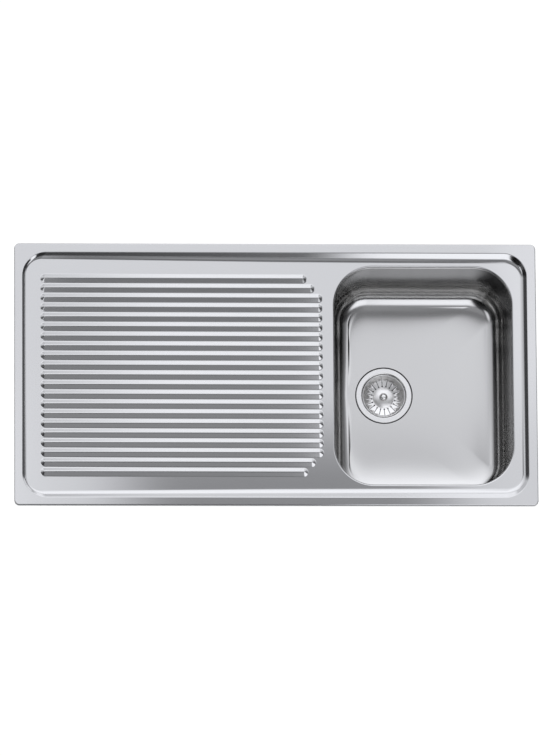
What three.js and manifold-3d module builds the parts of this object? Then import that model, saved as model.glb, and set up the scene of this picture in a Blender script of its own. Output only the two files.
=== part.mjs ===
// Inset kitchen sink: one deep bowl, a ribbed drainer beside it, a basket waste and its worktop clamps.
// Millimetres, +Z up. The origin is the sink's centre on the worktop's top face.
// +X runs from the drainer to the bowl, +Y from the front edge to the back edge.

import * as THREE from 'three';
import { mergeVertices } from 'three/addons/utils/BufferGeometryUtils.js';
import Module from 'manifold-3d';

const wasm = await Module();
wasm.setup();

// ---------------------------------------------------------------- driving dimensions

// Pressed sheet and its outline
const overallLength = 1000;
const overallDepth = 510;
const outerCornerRadius = 10;
const sheet = 0.9;
const rimHeight = 8;
const rimEdgeRadius = 3;
const rimWidth = 15;
const lipClearance = 0.3;
const shoulderRunAtSides = 2.7;
const shoulderRunAtEnds = 1.9;
const shoulderCrestShare = 0.2;
const shoulderFootShare = 0.5;
const shoulderCornerRadius = 48;
const dropAtDrainerEnd = 4.4;
const dropAtBowlEnd = 7.2;

// Drainer ribs, raised ridges with domed ends
const ribCount = 21;
const ribHeight = 3.5;
const ribBendShare = 0.2;
const ribValley = 0.5;
const ribCrown = 0.2;
const ribFieldFrontMargin = 55.3;
const ribFieldBackMargin = 58.4;
const ribFieldLeftMargin = 49;
const ribToBowlMargin = 24.5;
const ribStagger = 15;
const staggeredRibs = 2;

// Bowl
const bowlLength = 341;
const bowlCornerRadius = 75;
const bowlEndMargin = 46.5;
const bowlFrontMargin = 42.3;
const bowlBackMargin = 44.4;
const bowlDepth = 190;
const bowlDraft = 5;
const floorFillet = 41;
const floorFall = 3;
const openingBend = 3.5;
const weldDepth = 7;

// Seal between rim and worktop
const sealWidth = 8;
const sealGap = 0.5;
const sealLeastCorner = 1;

// Waste: hole in the bowl, flange, body and basket
const drainOffsetX = -65;
const drainOffsetY = 0;
const drainHoleRadius = 45;
const seatDepth = 3;
const seatClearance = 0.8;
const seatSlope = 1.2;
const flangeRadius = 56;
const flangeSheet = 1.2;
const wellRadius = 42.5;
const wellTaper = 2;
const wellDepth = 26;
const wellFillet = 5;
const flangeSealThickness = 1.5;
const bodySealThickness = 3;
const windowCount = 6;
const windowInnerRadius = 12;
const windowOuterRadius = 30;
const windowSpoke = 4;
const bodyCollarRadius = 58;
const bodyCollarThickness = 5;
const bodyWall = 3;
const bodyCupDepth = 16;
const bodyConeDepth = 9;
const outletLength = 34;
const outletBoreRadius = 20;
const outletRadius = 23.9;
const bossRadius = 8.5;
const bossHeight = 14;
const bossShoulder = 2;
const spiderArms = 3;
const spiderArmWidth = 3;
const spiderArmHeight = 10;
const insertRadius = 5.2;
const insertLength = 10;
const centreScrewRadius = 2.9;
const centreScrewLength = 22;
const centreScrewHeadRadius = 5.2;
const centreScrewHeadHeight = 3;
const basketSheet = 0.8;
const basketRimClearance = 0.9;
const basketRimDepth = 2.7;
const basketConeRadius = 35;
const basketPlateRadius = 21;
const basketConeRise = 13;
const basketDomeRadius = 9;
const basketDomeRise = 8;
const basketDomeSlope = 3;
const basketSlots = 20;
const basketSlotWidth = 2.6;
const basketSlotMargin = 1.6;
const basketSealRadius = 33;
const basketSealThickness = 2;
const knobRadius = 6;
const knobHeight = 12;
const knobNeckRadius = 3;
const knobStemRadius = 1.9;
const clipWall = 2;
const clipClearance = 1;

// Worktop clamps
const worktopThickest = 40;
const jawParkClearance = 3;
const jawHeight = 12;
const clampTravel = 14;
const lugToBowl = 4.9;
const clampEndDistance = 120;
const lugWidth = 16;
const lugReach = 6;
const lugBack = 10.5;
const lugSheet = 1.5;
const lugShelfDepth = 24;
const lugShelfThickness = 3;
const armWidth = 14;
const armSheet = 2;
const armReach = 24;
const armTail = 8;
const clampScrewRadius = 2.4;
const clampScrewHeadRadius = 4.75;
const clampScrewHeadHeight = 3;
const clampScrewSlot = 1.2;
const clampScrewAboveShelf = 6;
const clampWasherRadius = 5.5;
const clampWasherThickness = 1;

// Damping pad under the bowl and earthing tag under the deck
const padThickness = 2.5;
const padInnerShare = 0.3;
const padOuterShare = 0.85;
const tagWidth = 12;
const tagFoot = 12;
const tagDrop = 16;
const tagSheet = 1.2;
const tagHoleRadius = 2.6;
const tagInset = 34;
const tagFromBowl = 60;

// Gaps that separate pieces lie on or turn in each other with
const fitGap = 0.3;
const screwClearance = 0.4;

// Facets
const coplanarTolerance = 0.0005;
const cornerSteps = 6;
const bowlSideSteps = 3;
const edgeSteps = 3;
const shoulderSteps = 4;
const filletSteps = 5;
const ribRings = 3;
const ribEndSteps = 4;
const wasteSteps = 32;
const hiddenSteps = 24;
const smallSteps = 16;
const clampSteps = 8;

// ---------------------------------------------------------------- derived places

const halfLength = overallLength / 2;
const halfDepth = overallDepth / 2;
const bowlCentreX = halfLength - bowlEndMargin - bowlLength / 2;
const bowlWidth = overallDepth - bowlFrontMargin - bowlBackMargin;
const bowlCentreY = (bowlFrontMargin - bowlBackMargin) / 2;
const bowlLeftX = bowlCentreX - bowlLength / 2;
const ribPitch = (overallDepth - ribFieldFrontMargin - ribFieldBackMargin) / ribCount;
const ribFieldCentreY = (ribFieldFrontMargin - ribFieldBackMargin) / 2;
const drainX = bowlCentreX + drainOffsetX;
const drainY = bowlCentreY + drainOffsetY;
const bowlTop = -weldDepth;
const floorLevel = deckLevel(bowlCentreX) - bowlDepth;
const drainFloor = floorLevel - floorFall;
const seatLevel = drainFloor - seatDepth;
const flangeBase = seatLevel + flangeSealThickness;
const flangeTop = flangeBase + flangeSheet;
const wellFloor = flangeTop - wellDepth;
const basketPlate = wellFloor + fitGap + basketSealThickness;
const bodyTop = seatLevel - sheet - bodySealThickness;

/** How far the deck lies below the rim: it falls from the drainer's far end to the bowl's end. */
function deckDrop(x) {
  const share = (x + overallLength / 2) / overallLength;
  return dropAtDrainerEnd + (dropAtBowlEnd - dropAtDrainerEnd) * share;
}

/** Height of the deck's top face. */
function deckLevel(x) {
  return rimHeight - deckDrop(x);
}

// ---------------------------------------------------------------- geometry helpers

/** A closed skin put together from rings of points. */
class Skin {
  points = [];
  faces = [];

  /** Adds a ring and returns its indices. */
  ring(points) {
    const first = this.points.length / 3;
    for (const point of points) {
      this.points.push(point.x, point.y, point.z);
    }
    return points.map((_, index) => first + index);
  }

  /** Joins two rings; going up, or outward underneath, the faces look out of the solid. */
  band(from, to) {
    for (let i = 0; i < from.length; i++) {
      const next = (i + 1) % from.length;
      this.faces.push(from[i], from[next], to[next]);
      this.faces.push(from[i], to[next], to[i]);
    }
  }

  /** Closes a convex ring with a fan that looks up or down. */
  cap(ring, looksUp) {
    for (let i = 1; i < ring.length - 1; i++) {
      if (looksUp) {
        this.faces.push(ring[0], ring[i], ring[i + 1]);
      } else {
        this.faces.push(ring[0], ring[i + 1], ring[i]);
      }
    }
  }

  geometry() {
    const geometry = new THREE.BufferGeometry();
    geometry.setAttribute('position', new THREE.Float32BufferAttribute(this.points, 3));
    geometry.setIndex(this.faces);
    return geometry;
  }
}

/** A solid whose section closes on itself, so that its rings join end to end. */
function ringLoft(rings) {
  const skin = new Skin();
  const indices = rings.map((ring) => skin.ring(ring));
  indices.forEach((ring, i) => skin.band(ring, indices[(i + 1) % indices.length]));
  return skin.geometry();
}

/** A solid with flat ends, lofted from its lowest ring to its highest. */
function cappedLoft(rings) {
  const skin = new Skin();
  const indices = rings.map((ring) => skin.ring(ring));
  skin.cap(indices[0], false);
  for (let i = 1; i < indices.length; i++) {
    skin.band(indices[i - 1], indices[i]);
  }
  skin.cap(indices[indices.length - 1], true);
  return skin.geometry();
}

/** A rounded rectangle, anticlockwise from above, each point at the height that heightAt gives for its x. */
function rectangleRing({ halfX, halfY, radius, heightAt, centreX = 0, centreY = 0, sidePoints = 0 }) {
  const corners = [[1, 1], [-1, 1], [-1, -1], [1, -1]];
  const flat = [];
  corners.forEach(([signX, signY], corner) => {
    for (let step = 0; step <= cornerSteps; step++) {
      const angle = (corner + step / cornerSteps) * Math.PI / 2;
      const x = centreX + signX * (halfX - radius) + radius * Math.cos(angle);
      const y = centreY + signY * (halfY - radius) + radius * Math.sin(angle);
      flat.push(new THREE.Vector2(x, y));
    }
  });
  const perCorner = cornerSteps + 1;
  const ring = [];
  flat.forEach((point, index) => {
    ring.push(point);
    if ((index + 1) % perCorner === 0) {
      const next = flat[(index + 1) % flat.length];
      for (let side = 1; side <= sidePoints; side++) {
        ring.push(point.clone().lerp(next, side / (sidePoints + 1)));
      }
    }
  });
  return ring.map((point) => new THREE.Vector3(point.x, point.y, heightAt(point.x)));
}

/** A circle round the drain with as many points as the bowl's rings, a quarter to each of their corners. */
function drainRing(radius, height) {
  const perCorner = cornerSteps + 1 + bowlSideSteps;
  const count = 4 * perCorner;
  const start = Math.PI / 4 - cornerSteps / 2 * (2 * Math.PI / count);
  const ring = [];
  for (let i = 0; i < count; i++) {
    const angle = start + i * 2 * Math.PI / count;
    ring.push(new THREE.Vector3(drainX + radius * Math.cos(angle), drainY + radius * Math.sin(angle), height));
  }
  return ring;
}

/** Merges shared vertices, drops collapsed faces and turns the skin to face out. */
function weld(source) {
  const bare = source.clone();
  bare.deleteAttribute('normal');
  bare.deleteAttribute('uv');
  const merged = mergeVertices(bare, 1e-4);
  const corner = merged.index.array;
  const faces = [];
  for (let i = 0; i < corner.length; i += 3) {
    const [a, b, c] = [corner[i], corner[i + 1], corner[i + 2]];
    if (a !== b && b !== c && a !== c) {
      faces.push(a, b, c);
    }
  }
  if (signedVolume(merged, faces) < 0) {
    faces.reverse();
  }
  merged.setIndex(faces);
  return merged;
}

/** Six times the volume that the faces enclose, negative where they look inward. */
function signedVolume(geometry, faces) {
  const position = geometry.attributes.position;
  const [a, b, c] = [new THREE.Vector3(), new THREE.Vector3(), new THREE.Vector3()];
  let total = 0;
  for (let i = 0; i < faces.length; i += 3) {
    a.fromBufferAttribute(position, faces[i]);
    b.fromBufferAttribute(position, faces[i + 1]);
    c.fromBufferAttribute(position, faces[i + 2]);
    total += a.dot(b.cross(c));
  }
  return total;
}

function toSolid(geometry) {
  const welded = weld(geometry);
  const vertProperties = new Float32Array(welded.attributes.position.array);
  const triVerts = new Uint32Array(welded.index.array);
  return new wasm.Manifold(new wasm.Mesh({ numProp: 3, vertProperties, triVerts }));
}

function fromSolid(solid) {
  const mesh = solid.getMesh();
  const geometry = new THREE.BufferGeometry();
  geometry.setAttribute('position', new THREE.BufferAttribute(mesh.vertProperties, 3));
  geometry.setIndex(new THREE.BufferAttribute(mesh.triVerts, 1));
  return geometry;
}

/** Body with every geometry of cuts taken away; facets that a cut left in one plane are merged. */
function cutAway(body, cuts) {
  const remaining = cuts.reduce((solid, cut) => solid.subtract(toSolid(cut)), toSolid(body));
  return fromSolid(remaining.simplify(coplanarTolerance));
}

/** All geometries joined into one body. */
function joinAll(geometries) {
  const [first, ...others] = geometries.map(toSolid);
  return fromSolid(others.reduce((solid, other) => solid.add(other), first));
}

/** A turned piece on the Z axis from its outline of [radius, height] points. */
function turned(outline, steps) {
  const points = outline.map(([radius, height]) => new THREE.Vector2(radius, height));
  const geometry = new THREE.LatheGeometry(points, steps);
  geometry.rotateX(Math.PI / 2);
  return weld(geometry);
}

/** A ring of rectangular section on the Z axis. */
function turnedRing(innerRadius, outerRadius, low, high, steps) {
  const section = [
    [innerRadius, low], [outerRadius, low], [outerRadius, high], [innerRadius, high], [innerRadius, low],
  ];
  return turned(section, steps);
}

/** A plain round bar or drill on the Z axis. */
function bar(radius, low, high, steps, x = 0, y = 0) {
  const geometry = new THREE.CylinderGeometry(radius, radius, high - low, steps);
  geometry.rotateX(Math.PI / 2);
  geometry.translate(x, y, (low + high) / 2);
  return geometry;
}

function box(low, high) {
  const size = high.map((value, axis) => value - low[axis]);
  const geometry = new THREE.BoxGeometry(...size);
  geometry.translate(...low.map((value, axis) => value + size[axis] / 2));
  return geometry;
}

/** A profile of [outward, height] points drawn across the X axis and extruded along it by width. */
function bentStrip(profile, width) {
  const shape = new THREE.Shape(profile.map(([outward, height]) => new THREE.Vector2(outward, height)));
  const geometry = new THREE.ExtrudeGeometry(shape, { depth: width, bevelEnabled: false });
  geometry.rotateX(Math.PI / 2);
  geometry.rotateZ(-Math.PI / 2);
  geometry.translate(width / 2, 0, 0);
  return weld(geometry);
}

function finish(colour, roughness, metalness) {
  return new THREE.MeshStandardMaterial({ color: colour, roughness, metalness });
}

const steel = () => finish(0xd0d1cf, 0.3, 1);
const polishedSteel = () => finish(0xe0e0de, 0.12, 1);
const zincPlate = () => finish(0xb9bcc0, 0.4, 1);
const brass = () => finish(0xc9a24c, 0.35, 1);
const rubber = () => finish(0x26272a, 0.8, 0);
const foam = () => finish(0x3a3b3d, 0.95, 0);
const greyPlastic = () => finish(0xe4e5e4, 0.45, 0);

const sink = new THREE.Group();

function addPiece(name, geometry, material, parent = sink) {
  const mesh = new THREE.Mesh(weld(geometry), material);
  mesh.name = name;
  parent.add(mesh);
  return mesh;
}

// ---------------------------------------------------------------- deck: rim, shoulder, drainer, opening

/** Share of the drop that the shoulder has fallen at a share of its width: a tight crest, a flank, a wide foot. */
function shoulderFall(share) {
  const steepest = 2 / (1 + shoulderFootShare - shoulderCrestShare);
  if (share < shoulderCrestShare) {
    return steepest * share ** 2 / (2 * shoulderCrestShare);
  }
  if (share < shoulderFootShare) {
    return steepest * (share - shoulderCrestShare / 2);
  }
  return 1 - steepest * (1 - share) ** 2 / (2 * (1 - shoulderFootShare));
}

/** Section of the deck's edge, from the lip's free end to the deck: tilt leans the face's normal outward. */
function deckEdgeSection() {
  const section = [{ inset: 0, share: 0, base: lipClearance, tilt: Math.PI / 2 }];
  for (let step = 0; step <= edgeSteps; step++) {
    const tilt = Math.PI / 2 * (1 - step / edgeSteps);
    const inset = rimEdgeRadius * (1 - Math.sin(tilt));
    const base = rimHeight - rimEdgeRadius * (1 - Math.cos(tilt));
    section.push({ inset, share: 0, base, tilt });
  }
  const reach = 1 / (2 * shoulderSteps);
  for (let step = 0; step <= shoulderSteps; step++) {
    const share = step / shoulderSteps;
    const before = shoulderFall(Math.max(share - reach, 0));
    const after = shoulderFall(Math.min(share + reach, 1));
    const slope = step % shoulderSteps === 0 ? 0 : (after - before) / (2 * reach * shoulderRunAtSides);
    section.push({ inset: rimWidth, share, base: rimHeight, tilt: -Math.atan(slope) });
  }
  return section;
}

/** One ring of the deck's edge, depth of sheet below its top face; share is how far across the shoulder it is. */
function deckEdgeRing({ inset, share, base, tilt }, depth) {
  const inward = inset + depth * Math.sin(tilt);
  const meanDrop = (dropAtDrainerEnd + dropAtBowlEnd) / 2;
  const sideInset = (drop) => inward + shoulderRunAtSides * drop * share;
  const endInset = (drop) => inward + shoulderRunAtEnds * drop * share;
  const startRadius = inset < rimWidth ? outerCornerRadius : shoulderCornerRadius + rimWidth;
  const ring = rectangleRing({
    halfX: halfLength - endInset(meanDrop),
    halfY: halfDepth - sideInset(meanDrop),
    radius: startRadius - sideInset(meanDrop),
    heightAt: (x) => base - shoulderFall(share) * deckDrop(x) - depth * Math.cos(tilt),
    centreX: (endInset(dropAtDrainerEnd) - endInset(dropAtBowlEnd)) / 2,
  });
  for (const point of ring) {
    point.y *= (halfDepth - sideInset(deckDrop(point.x))) / (halfDepth - sideInset(meanDrop));
  }
  return ring;
}

/** The pressed tray before its ribs and opening: both faces of the sheet, closed round the lip's edge. */
function tray() {
  const section = deckEdgeSection();
  const skin = new Skin();
  const upper = section.map((place) => skin.ring(deckEdgeRing(place, 0)));
  const lower = section.map((place) => skin.ring(deckEdgeRing(place, sheet)));
  for (let i = 1; i < section.length; i++) {
    skin.band(upper[i - 1], upper[i]);
    skin.band(lower[i], lower[i - 1]);
  }
  skin.band(lower[0], upper[0]);
  skin.cap(upper[upper.length - 1], true);
  skin.cap(lower[lower.length - 1], false);
  return skin.geometry();
}

const ribHalfWidth = (ribPitch - ribValley) / 2;

/** Where rib number index lies and ends; the outermost ribs stop short to round off the field. */
function ribPlace(index) {
  const fromEdge = Math.min(index, ribCount - 1 - index);
  const shortBy = ribStagger * Math.max(staggeredRibs - fromEdge, 0);
  return {
    y: ribFieldCentreY + ((ribCount - 1) / 2 - index) * ribPitch,
    left: -halfLength + ribFieldLeftMargin,
    right: bowlLeftX - ribToBowlMargin - shortBy,
  };
}

/** A rib's outline at a distance from its centre line, lifted off the deck. */
function ribRing({ y, left, right }, distance, lift) {
  const ring = [];
  const ends = [[right - ribHalfWidth, -Math.PI / 2], [left + ribHalfWidth, Math.PI / 2]];
  for (const [centreX, start] of ends) {
    for (let step = 0; step <= ribEndSteps; step++) {
      const angle = start + Math.PI * step / ribEndSteps;
      const x = centreX + distance * Math.cos(angle);
      ring.push(new THREE.Vector3(x, y + distance * Math.sin(angle), deckLevel(x) + lift));
    }
  }
  return ring;
}

/** Height of the ridge at a share of its half width: a bend on top, a straight flank and a bend at the foot. */
function ribLift(share) {
  const steepest = ribHeight / (1 - ribBendShare);
  if (share < ribBendShare) {
    return ribHeight - steepest * share ** 2 / (2 * ribBendShare);
  }
  if (share < 1 - ribBendShare) {
    return ribHeight - steepest * (share - ribBendShare / 2);
  }
  return steepest * (1 - share) ** 2 / (2 * ribBendShare);
}

/** The ridge as a solid with a domed top; its foot is carried on down past the face it stands on. */
function ribSolid(place, below) {
  const shareStep = (1 - ribCrown) / (ribRings - 1);
  const footSlope = ribLift(1 - shareStep) / (ribHalfWidth * shareStep);
  const footDepth = sheet / 2;
  const rings = [ribRing(place, ribHalfWidth + footDepth / footSlope, -footDepth - below)];
  for (let ring = 1; ring < ribRings; ring++) {
    const share = 1 - ring * shareStep;
    rings.push(ribRing(place, ribHalfWidth * share, ribLift(share) - below));
  }
  return cappedLoft(rings);
}

/** A ring round the bowl's opening, outset from its edge. */
function openingRing(outset, heightAt) {
  return rectangleRing({
    halfX: bowlLength / 2 + outset,
    halfY: bowlWidth / 2 + outset,
    radius: bowlCornerRadius + outset,
    heightAt,
    centreX: bowlCentreX,
    centreY: bowlCentreY,
    sidePoints: bowlSideSteps,
  });
}

/** Rings of the bend from the deck down into the opening, from the wall's end up; depth is below the top face. */
function bendRings(depth, overrun) {
  const radius = openingBend - depth;
  const places = [];
  for (let step = edgeSteps; step > 0; step--) {
    const angle = Math.PI / 2 * step / edgeSteps;
    places.push([depth + radius * (1 - Math.sin(angle)), radius * (1 - Math.cos(angle))]);
  }
  const [lastOutset, lastFall] = places[places.length - 1];
  const slope = lastFall / (openingBend - lastOutset);
  places.push([openingBend + overrun / slope, -overrun]);
  return places.map(([outset, fall]) => openingRing(outset, (x) => deckLevel(x) - depth - fall));
}

/** The short collar that the opening's edge is drawn down into, still filled across its mouth. */
function collarBlock() {
  const overrun = sheet / 4;
  const fillIn = 2 * sheet;
  const rings = [
    openingRing(sheet, () => bowlTop),
    ...bendRings(sheet, overrun),
    openingRing(-fillIn, (x) => deckLevel(x) - sheet + overrun),
    openingRing(-fillIn, () => bowlTop),
  ];
  return ringLoft(rings);
}

/** What is cut out of the deck for the bowl: a straight shaft with a rounded mouth. */
function openingCut() {
  const rings = [openingRing(0, () => bowlTop - sheet), ...bendRings(0, sheet)];
  return cappedLoft(rings);
}

function sinkDeck() {
  const places = Array.from({ length: ribCount }, (_, index) => ribPlace(index));
  const raised = joinAll([tray(), collarBlock(), ...places.map((place) => ribSolid(place, 0))]);
  return cutAway(raised, [...places.map((place) => ribSolid(place, sheet)), openingCut()]);
}

addPiece('sink_deck', sinkDeck(), steel());

// ---------------------------------------------------------------- bowl and its damping pad

/** The smallest corner that the bowl's floor keeps in plan. */
const leastFloorCorner = 8;

function bowlRing(inset, height) {
  return rectangleRing({
    halfX: bowlLength / 2 - inset,
    halfY: bowlWidth / 2 - inset,
    radius: Math.max(bowlCornerRadius - inset, leastFloorCorner),
    heightAt: () => height,
    centreX: bowlCentreX,
    centreY: bowlCentreY,
    sidePoints: bowlSideSteps,
  });
}

/** Rings of one face of the bowl from its welded edge to the drain hole, outside by depth. */
function bowlFace(depth) {
  const rings = [bowlRing(-depth, bowlTop)];
  for (let step = 0; step <= filletSteps; step++) {
    const angle = Math.PI / 2 * step / filletSteps;
    const radius = floorFillet + depth;
    const inset = bowlDraft + floorFillet - radius * Math.cos(angle);
    rings.push(bowlRing(inset, floorLevel + floorFillet - radius * Math.sin(angle)));
  }
  const seatRadius = flangeRadius + seatClearance;
  const flank = depth * seatDepth / Math.hypot(seatDepth, seatSlope);
  rings.push(drainRing(seatRadius + seatSlope + flank, drainFloor - depth));
  rings.push(drainRing(seatRadius + flank, seatLevel - depth));
  rings.push(drainRing(drainHoleRadius, seatLevel - depth));
  return rings;
}

function sinkBowl() {
  return ringLoft([...bowlFace(0), ...bowlFace(sheet).reverse()]);
}

/** Floor's underside between the wall's fillet and the drain seat, as the two rings that it spans. */
function floorUnderside() {
  const face = bowlFace(sheet);
  return [face[filletSteps + 1], face[filletSteps + 2]];
}

/** The pad follows the floor's fall on the bowl's wide side, between the two right-hand corners. */
function bowlPad() {
  const [rim, seat] = floorUnderside();
  const first = 3 * (cornerSteps + 1 + bowlSideSteps) + cornerSteps;
  const strips = bowlSideSteps + 1;
  const skin = new Skin();
  const layer = (drop) => {
    const edge = [];
    const at = (index, share) => {
      const column = (first + index) % rim.length;
      const point = rim[column].clone().lerp(seat[column], 1 - share);
      point.z -= drop;
      return point;
    };
    for (let i = 0; i <= strips; i++) {
      edge.push([at(i, padInnerShare), at(i, padOuterShare)]);
    }
    return edge.map((pair) => skin.ring(pair));
  };
  const top = layer(fitGap);
  const bottom = layer(fitGap + padThickness);
  const quad = (a, b, c, d) => skin.faces.push(a, b, c, a, c, d);
  for (let i = 0; i < strips; i++) {
    quad(top[i][0], top[i][1], top[i + 1][1], top[i + 1][0]);
    quad(bottom[i][0], bottom[i + 1][0], bottom[i + 1][1], bottom[i][1]);
    quad(top[i][1], bottom[i][1], bottom[i + 1][1], top[i + 1][1]);
    quad(top[i][0], top[i + 1][0], bottom[i + 1][0], bottom[i][0]);
  }
  quad(top[0][0], bottom[0][0], bottom[0][1], top[0][1]);
  quad(top[strips][0], top[strips][1], bottom[strips][1], bottom[strips][0]);
  return skin.geometry();
}

addPiece('sink_bowl', sinkBowl(), steel());
addPiece('bowl_pad', bowlPad(), rubber());

// ---------------------------------------------------------------- rim seal and earthing tag

/** Foam strip between the rim's underside and the worktop. */
function rimSeal() {
  const ringAt = (inset, height) => rectangleRing({
    halfX: halfLength - inset,
    halfY: halfDepth - inset,
    radius: Math.max(outerCornerRadius - inset, sealLeastCorner),
    heightAt: () => height,
  });
  const outer = Math.max(rimEdgeRadius, sheet) + sealGap;
  const inner = outer + sealWidth;
  const top = rimHeight - sheet;
  return ringLoft([ringAt(inner, 0), ringAt(outer, 0), ringAt(outer, top), ringAt(inner, top)]);
}

/** A small angle spot-welded under the deck, with a hole for the bonding wire. */
function earthTag(top) {
  const profile = [
    [0, top - tagDrop], [tagSheet, top - tagDrop], [tagSheet, top - tagSheet],
    [tagFoot, top - tagSheet], [tagFoot, top], [0, top],
  ];
  const hole = new THREE.CylinderGeometry(tagHoleRadius, tagHoleRadius, 4 * tagSheet, smallSteps);
  hole.translate(0, 0, top - tagDrop + tagDrop / 3);
  return cutAway(bentStrip(profile, tagWidth), [hole]);
}

addPiece('rim_seal', rimSeal(), foam());
const tagX = bowlLeftX - tagFromBowl;
const tag = addPiece('earth_tag', earthTag(deckLevel(tagX) - sheet - fitGap), zincPlate());
tag.position.set(tagX, halfDepth - tagInset, 0);

// ---------------------------------------------------------------- waste

const waste = new THREE.Group();
waste.position.set(drainX, drainY, 0);
sink.add(waste);

/** Pressed dish: rim on the bowl's seat, well with a windowed floor that the basket closes. */
function wasteFlange() {
  const holeRadius = centreScrewRadius + screwClearance;
  const floorRadius = wellRadius - wellTaper - wellFillet;
  const outline = [
    [holeRadius, wellFloor - flangeSheet],
    [floorRadius, wellFloor - flangeSheet],
    [wellRadius - wellTaper + flangeSheet, wellFloor + wellFillet - flangeSheet],
    [wellRadius + flangeSheet, flangeBase],
    [flangeRadius, flangeBase],
    [flangeRadius, flangeBase + flangeSheet / 2],
    [flangeRadius - flangeSheet / 2, flangeTop],
    [wellRadius + 2 * flangeSheet, flangeTop],
    [wellRadius + flangeSheet / 2, flangeTop - flangeSheet / 2],
    [wellRadius, flangeBase - flangeSheet],
    [wellRadius - wellTaper, wellFloor + wellFillet],
    [wellRadius - wellTaper - wellFillet / 3, wellFloor + wellFillet / 3],
    [floorRadius, wellFloor],
    [holeRadius, wellFloor],
    [holeRadius, wellFloor - flangeSheet],
  ];
  const windows = [];
  const halfAngle = Math.PI / windowCount;
  const innerAngle = halfAngle - windowSpoke / 2 / windowInnerRadius;
  const outerAngle = halfAngle - windowSpoke / 2 / windowOuterRadius;
  for (let i = 0; i < windowCount; i++) {
    const shape = new THREE.Shape();
    shape.absarc(0, 0, windowOuterRadius, -outerAngle, outerAngle, false);
    shape.absarc(0, 0, windowInnerRadius, innerAngle, -innerAngle, true);
    const cut = new THREE.ExtrudeGeometry(shape, {
      depth: 4 * flangeSheet, bevelEnabled: false, curveSegments: edgeSteps,
    });
    cut.rotateZ(2 * halfAngle * i);
    cut.translate(0, 0, wellFloor - 2.5 * flangeSheet);
    windows.push(cut);
  }
  return cutAway(turned(outline, wasteSteps), windows);
}

/** Moulded cup under the bowl, with a spider that the centre screw pulls up, and the outlet spigot. */
function wasteBody() {
  const cupRadius = drainHoleRadius + 1;
  const cupFloor = wellFloor - bodyCupDepth;
  const coneFloor = cupFloor - bodyConeDepth;
  const outletEnd = coneFloor - outletLength;
  const collarLow = bodyTop - bodyCollarThickness;
  const shell = turned([
    [outletBoreRadius, outletEnd],
    [outletRadius, outletEnd],
    [outletRadius, coneFloor - bodyWall],
    [cupRadius + bodyWall, cupFloor - bodyWall],
    [cupRadius + bodyWall, collarLow],
    [bodyCollarRadius, collarLow],
    [bodyCollarRadius, bodyTop],
    [cupRadius, bodyTop],
    [cupRadius, cupFloor],
    [outletBoreRadius, coneFloor],
    [outletBoreRadius, outletEnd],
  ], hiddenSteps);
  const bossTop = wellFloor - flangeSheet - fitGap;
  const parts = [shell, bar(bossRadius, bossTop - bossHeight, bossTop, smallSteps)];
  for (let i = 0; i < spiderArms; i++) {
    const halfWidth = spiderArmWidth / 2;
    const low = [0, -halfWidth, bossTop - spiderArmHeight];
    const high = [cupRadius + bodyWall / 2, halfWidth, bossTop - fitGap];
    const arm = box(low, high);
    arm.rotateZ(2 * Math.PI * i / spiderArms);
    parts.push(arm);
  }
  const drill = bar(centreScrewRadius + screwClearance, bossTop - bossHeight, bossTop + 1, smallSteps);
  const pocketTop = bossTop - bossShoulder;
  const pocket = bar(insertRadius + fitGap, bossTop - bossHeight - 1, pocketTop, smallSteps);
  return cutAway(joinAll(parts), [drill, pocket]);
}

/** Threaded bush drawn up against the boss's shoulder. */
function bodyInsert() {
  const high = wellFloor - flangeSheet - fitGap - bossShoulder;
  const bore = centreScrewRadius + screwClearance;
  return turnedRing(bore, insertRadius, high - insertLength, high, smallSteps);
}

function centreScrew() {
  const headTop = wellFloor + centreScrewHeadHeight;
  return turned([
    [0, wellFloor - centreScrewLength],
    [centreScrewRadius, wellFloor - centreScrewLength],
    [centreScrewRadius, wellFloor],
    [centreScrewHeadRadius, wellFloor],
    [centreScrewHeadRadius, wellFloor + centreScrewHeadHeight / 2],
    [centreScrewHeadRadius * 0.6, headTop],
    [0, headTop],
  ], smallSteps);
}

/** Strainer basket: rolled rim, slotted cone, flat ring on the seal and a dome over the screw's head. */
function basket() {
  const plate = basketPlate;
  const top = plate + basketSheet;
  const rim = flangeTop - basketRimDepth;
  const rimRadius = wellRadius - basketRimClearance;
  const coneTop = plate + basketConeRise;
  const dome = plate + basketDomeRise;
  const domeFoot = basketDomeRadius + basketDomeSlope;
  const hole = knobStemRadius + fitGap;
  const outline = [
    [hole, dome - basketSheet],
    [basketDomeRadius, dome - basketSheet],
    [domeFoot, plate],
    [basketPlateRadius, plate],
    [basketConeRadius, coneTop - basketSheet],
    [rimRadius, rim - 2 * basketSheet],
    [rimRadius - basketSheet / 2, rim],
    [rimRadius - 2 * basketSheet, rim],
    [basketConeRadius - basketSheet, coneTop],
    [basketPlateRadius - basketSheet, top],
    [domeFoot + basketSheet, top],
    [basketDomeRadius + basketSheet / 2, dome],
    [hole, dome],
    [hole, dome - basketSheet],
  ];
  const inner = basketPlateRadius + basketSlotMargin;
  const outer = basketConeRadius - basketSlotMargin;
  const slots = [];
  for (let i = 0; i < basketSlots; i++) {
    const slot = new THREE.Shape();
    const half = basketSlotWidth / 2;
    slot.moveTo(inner, -half);
    slot.absarc(outer, 0, half, -Math.PI / 2, Math.PI / 2, false);
    slot.lineTo(inner, half);
    const cut = new THREE.ExtrudeGeometry(slot, {
      depth: basketConeRise + 4 * basketSheet, bevelEnabled: false, curveSegments: edgeSteps,
    });
    cut.rotateZ(2 * Math.PI * (i + 0.25) / basketSlots);
    cut.translate(0, 0, plate - 2 * basketSheet);
    slots.push(cut);
  }
  return cutAway(turned(outline, 2 * basketSlots), slots);
}

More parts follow.
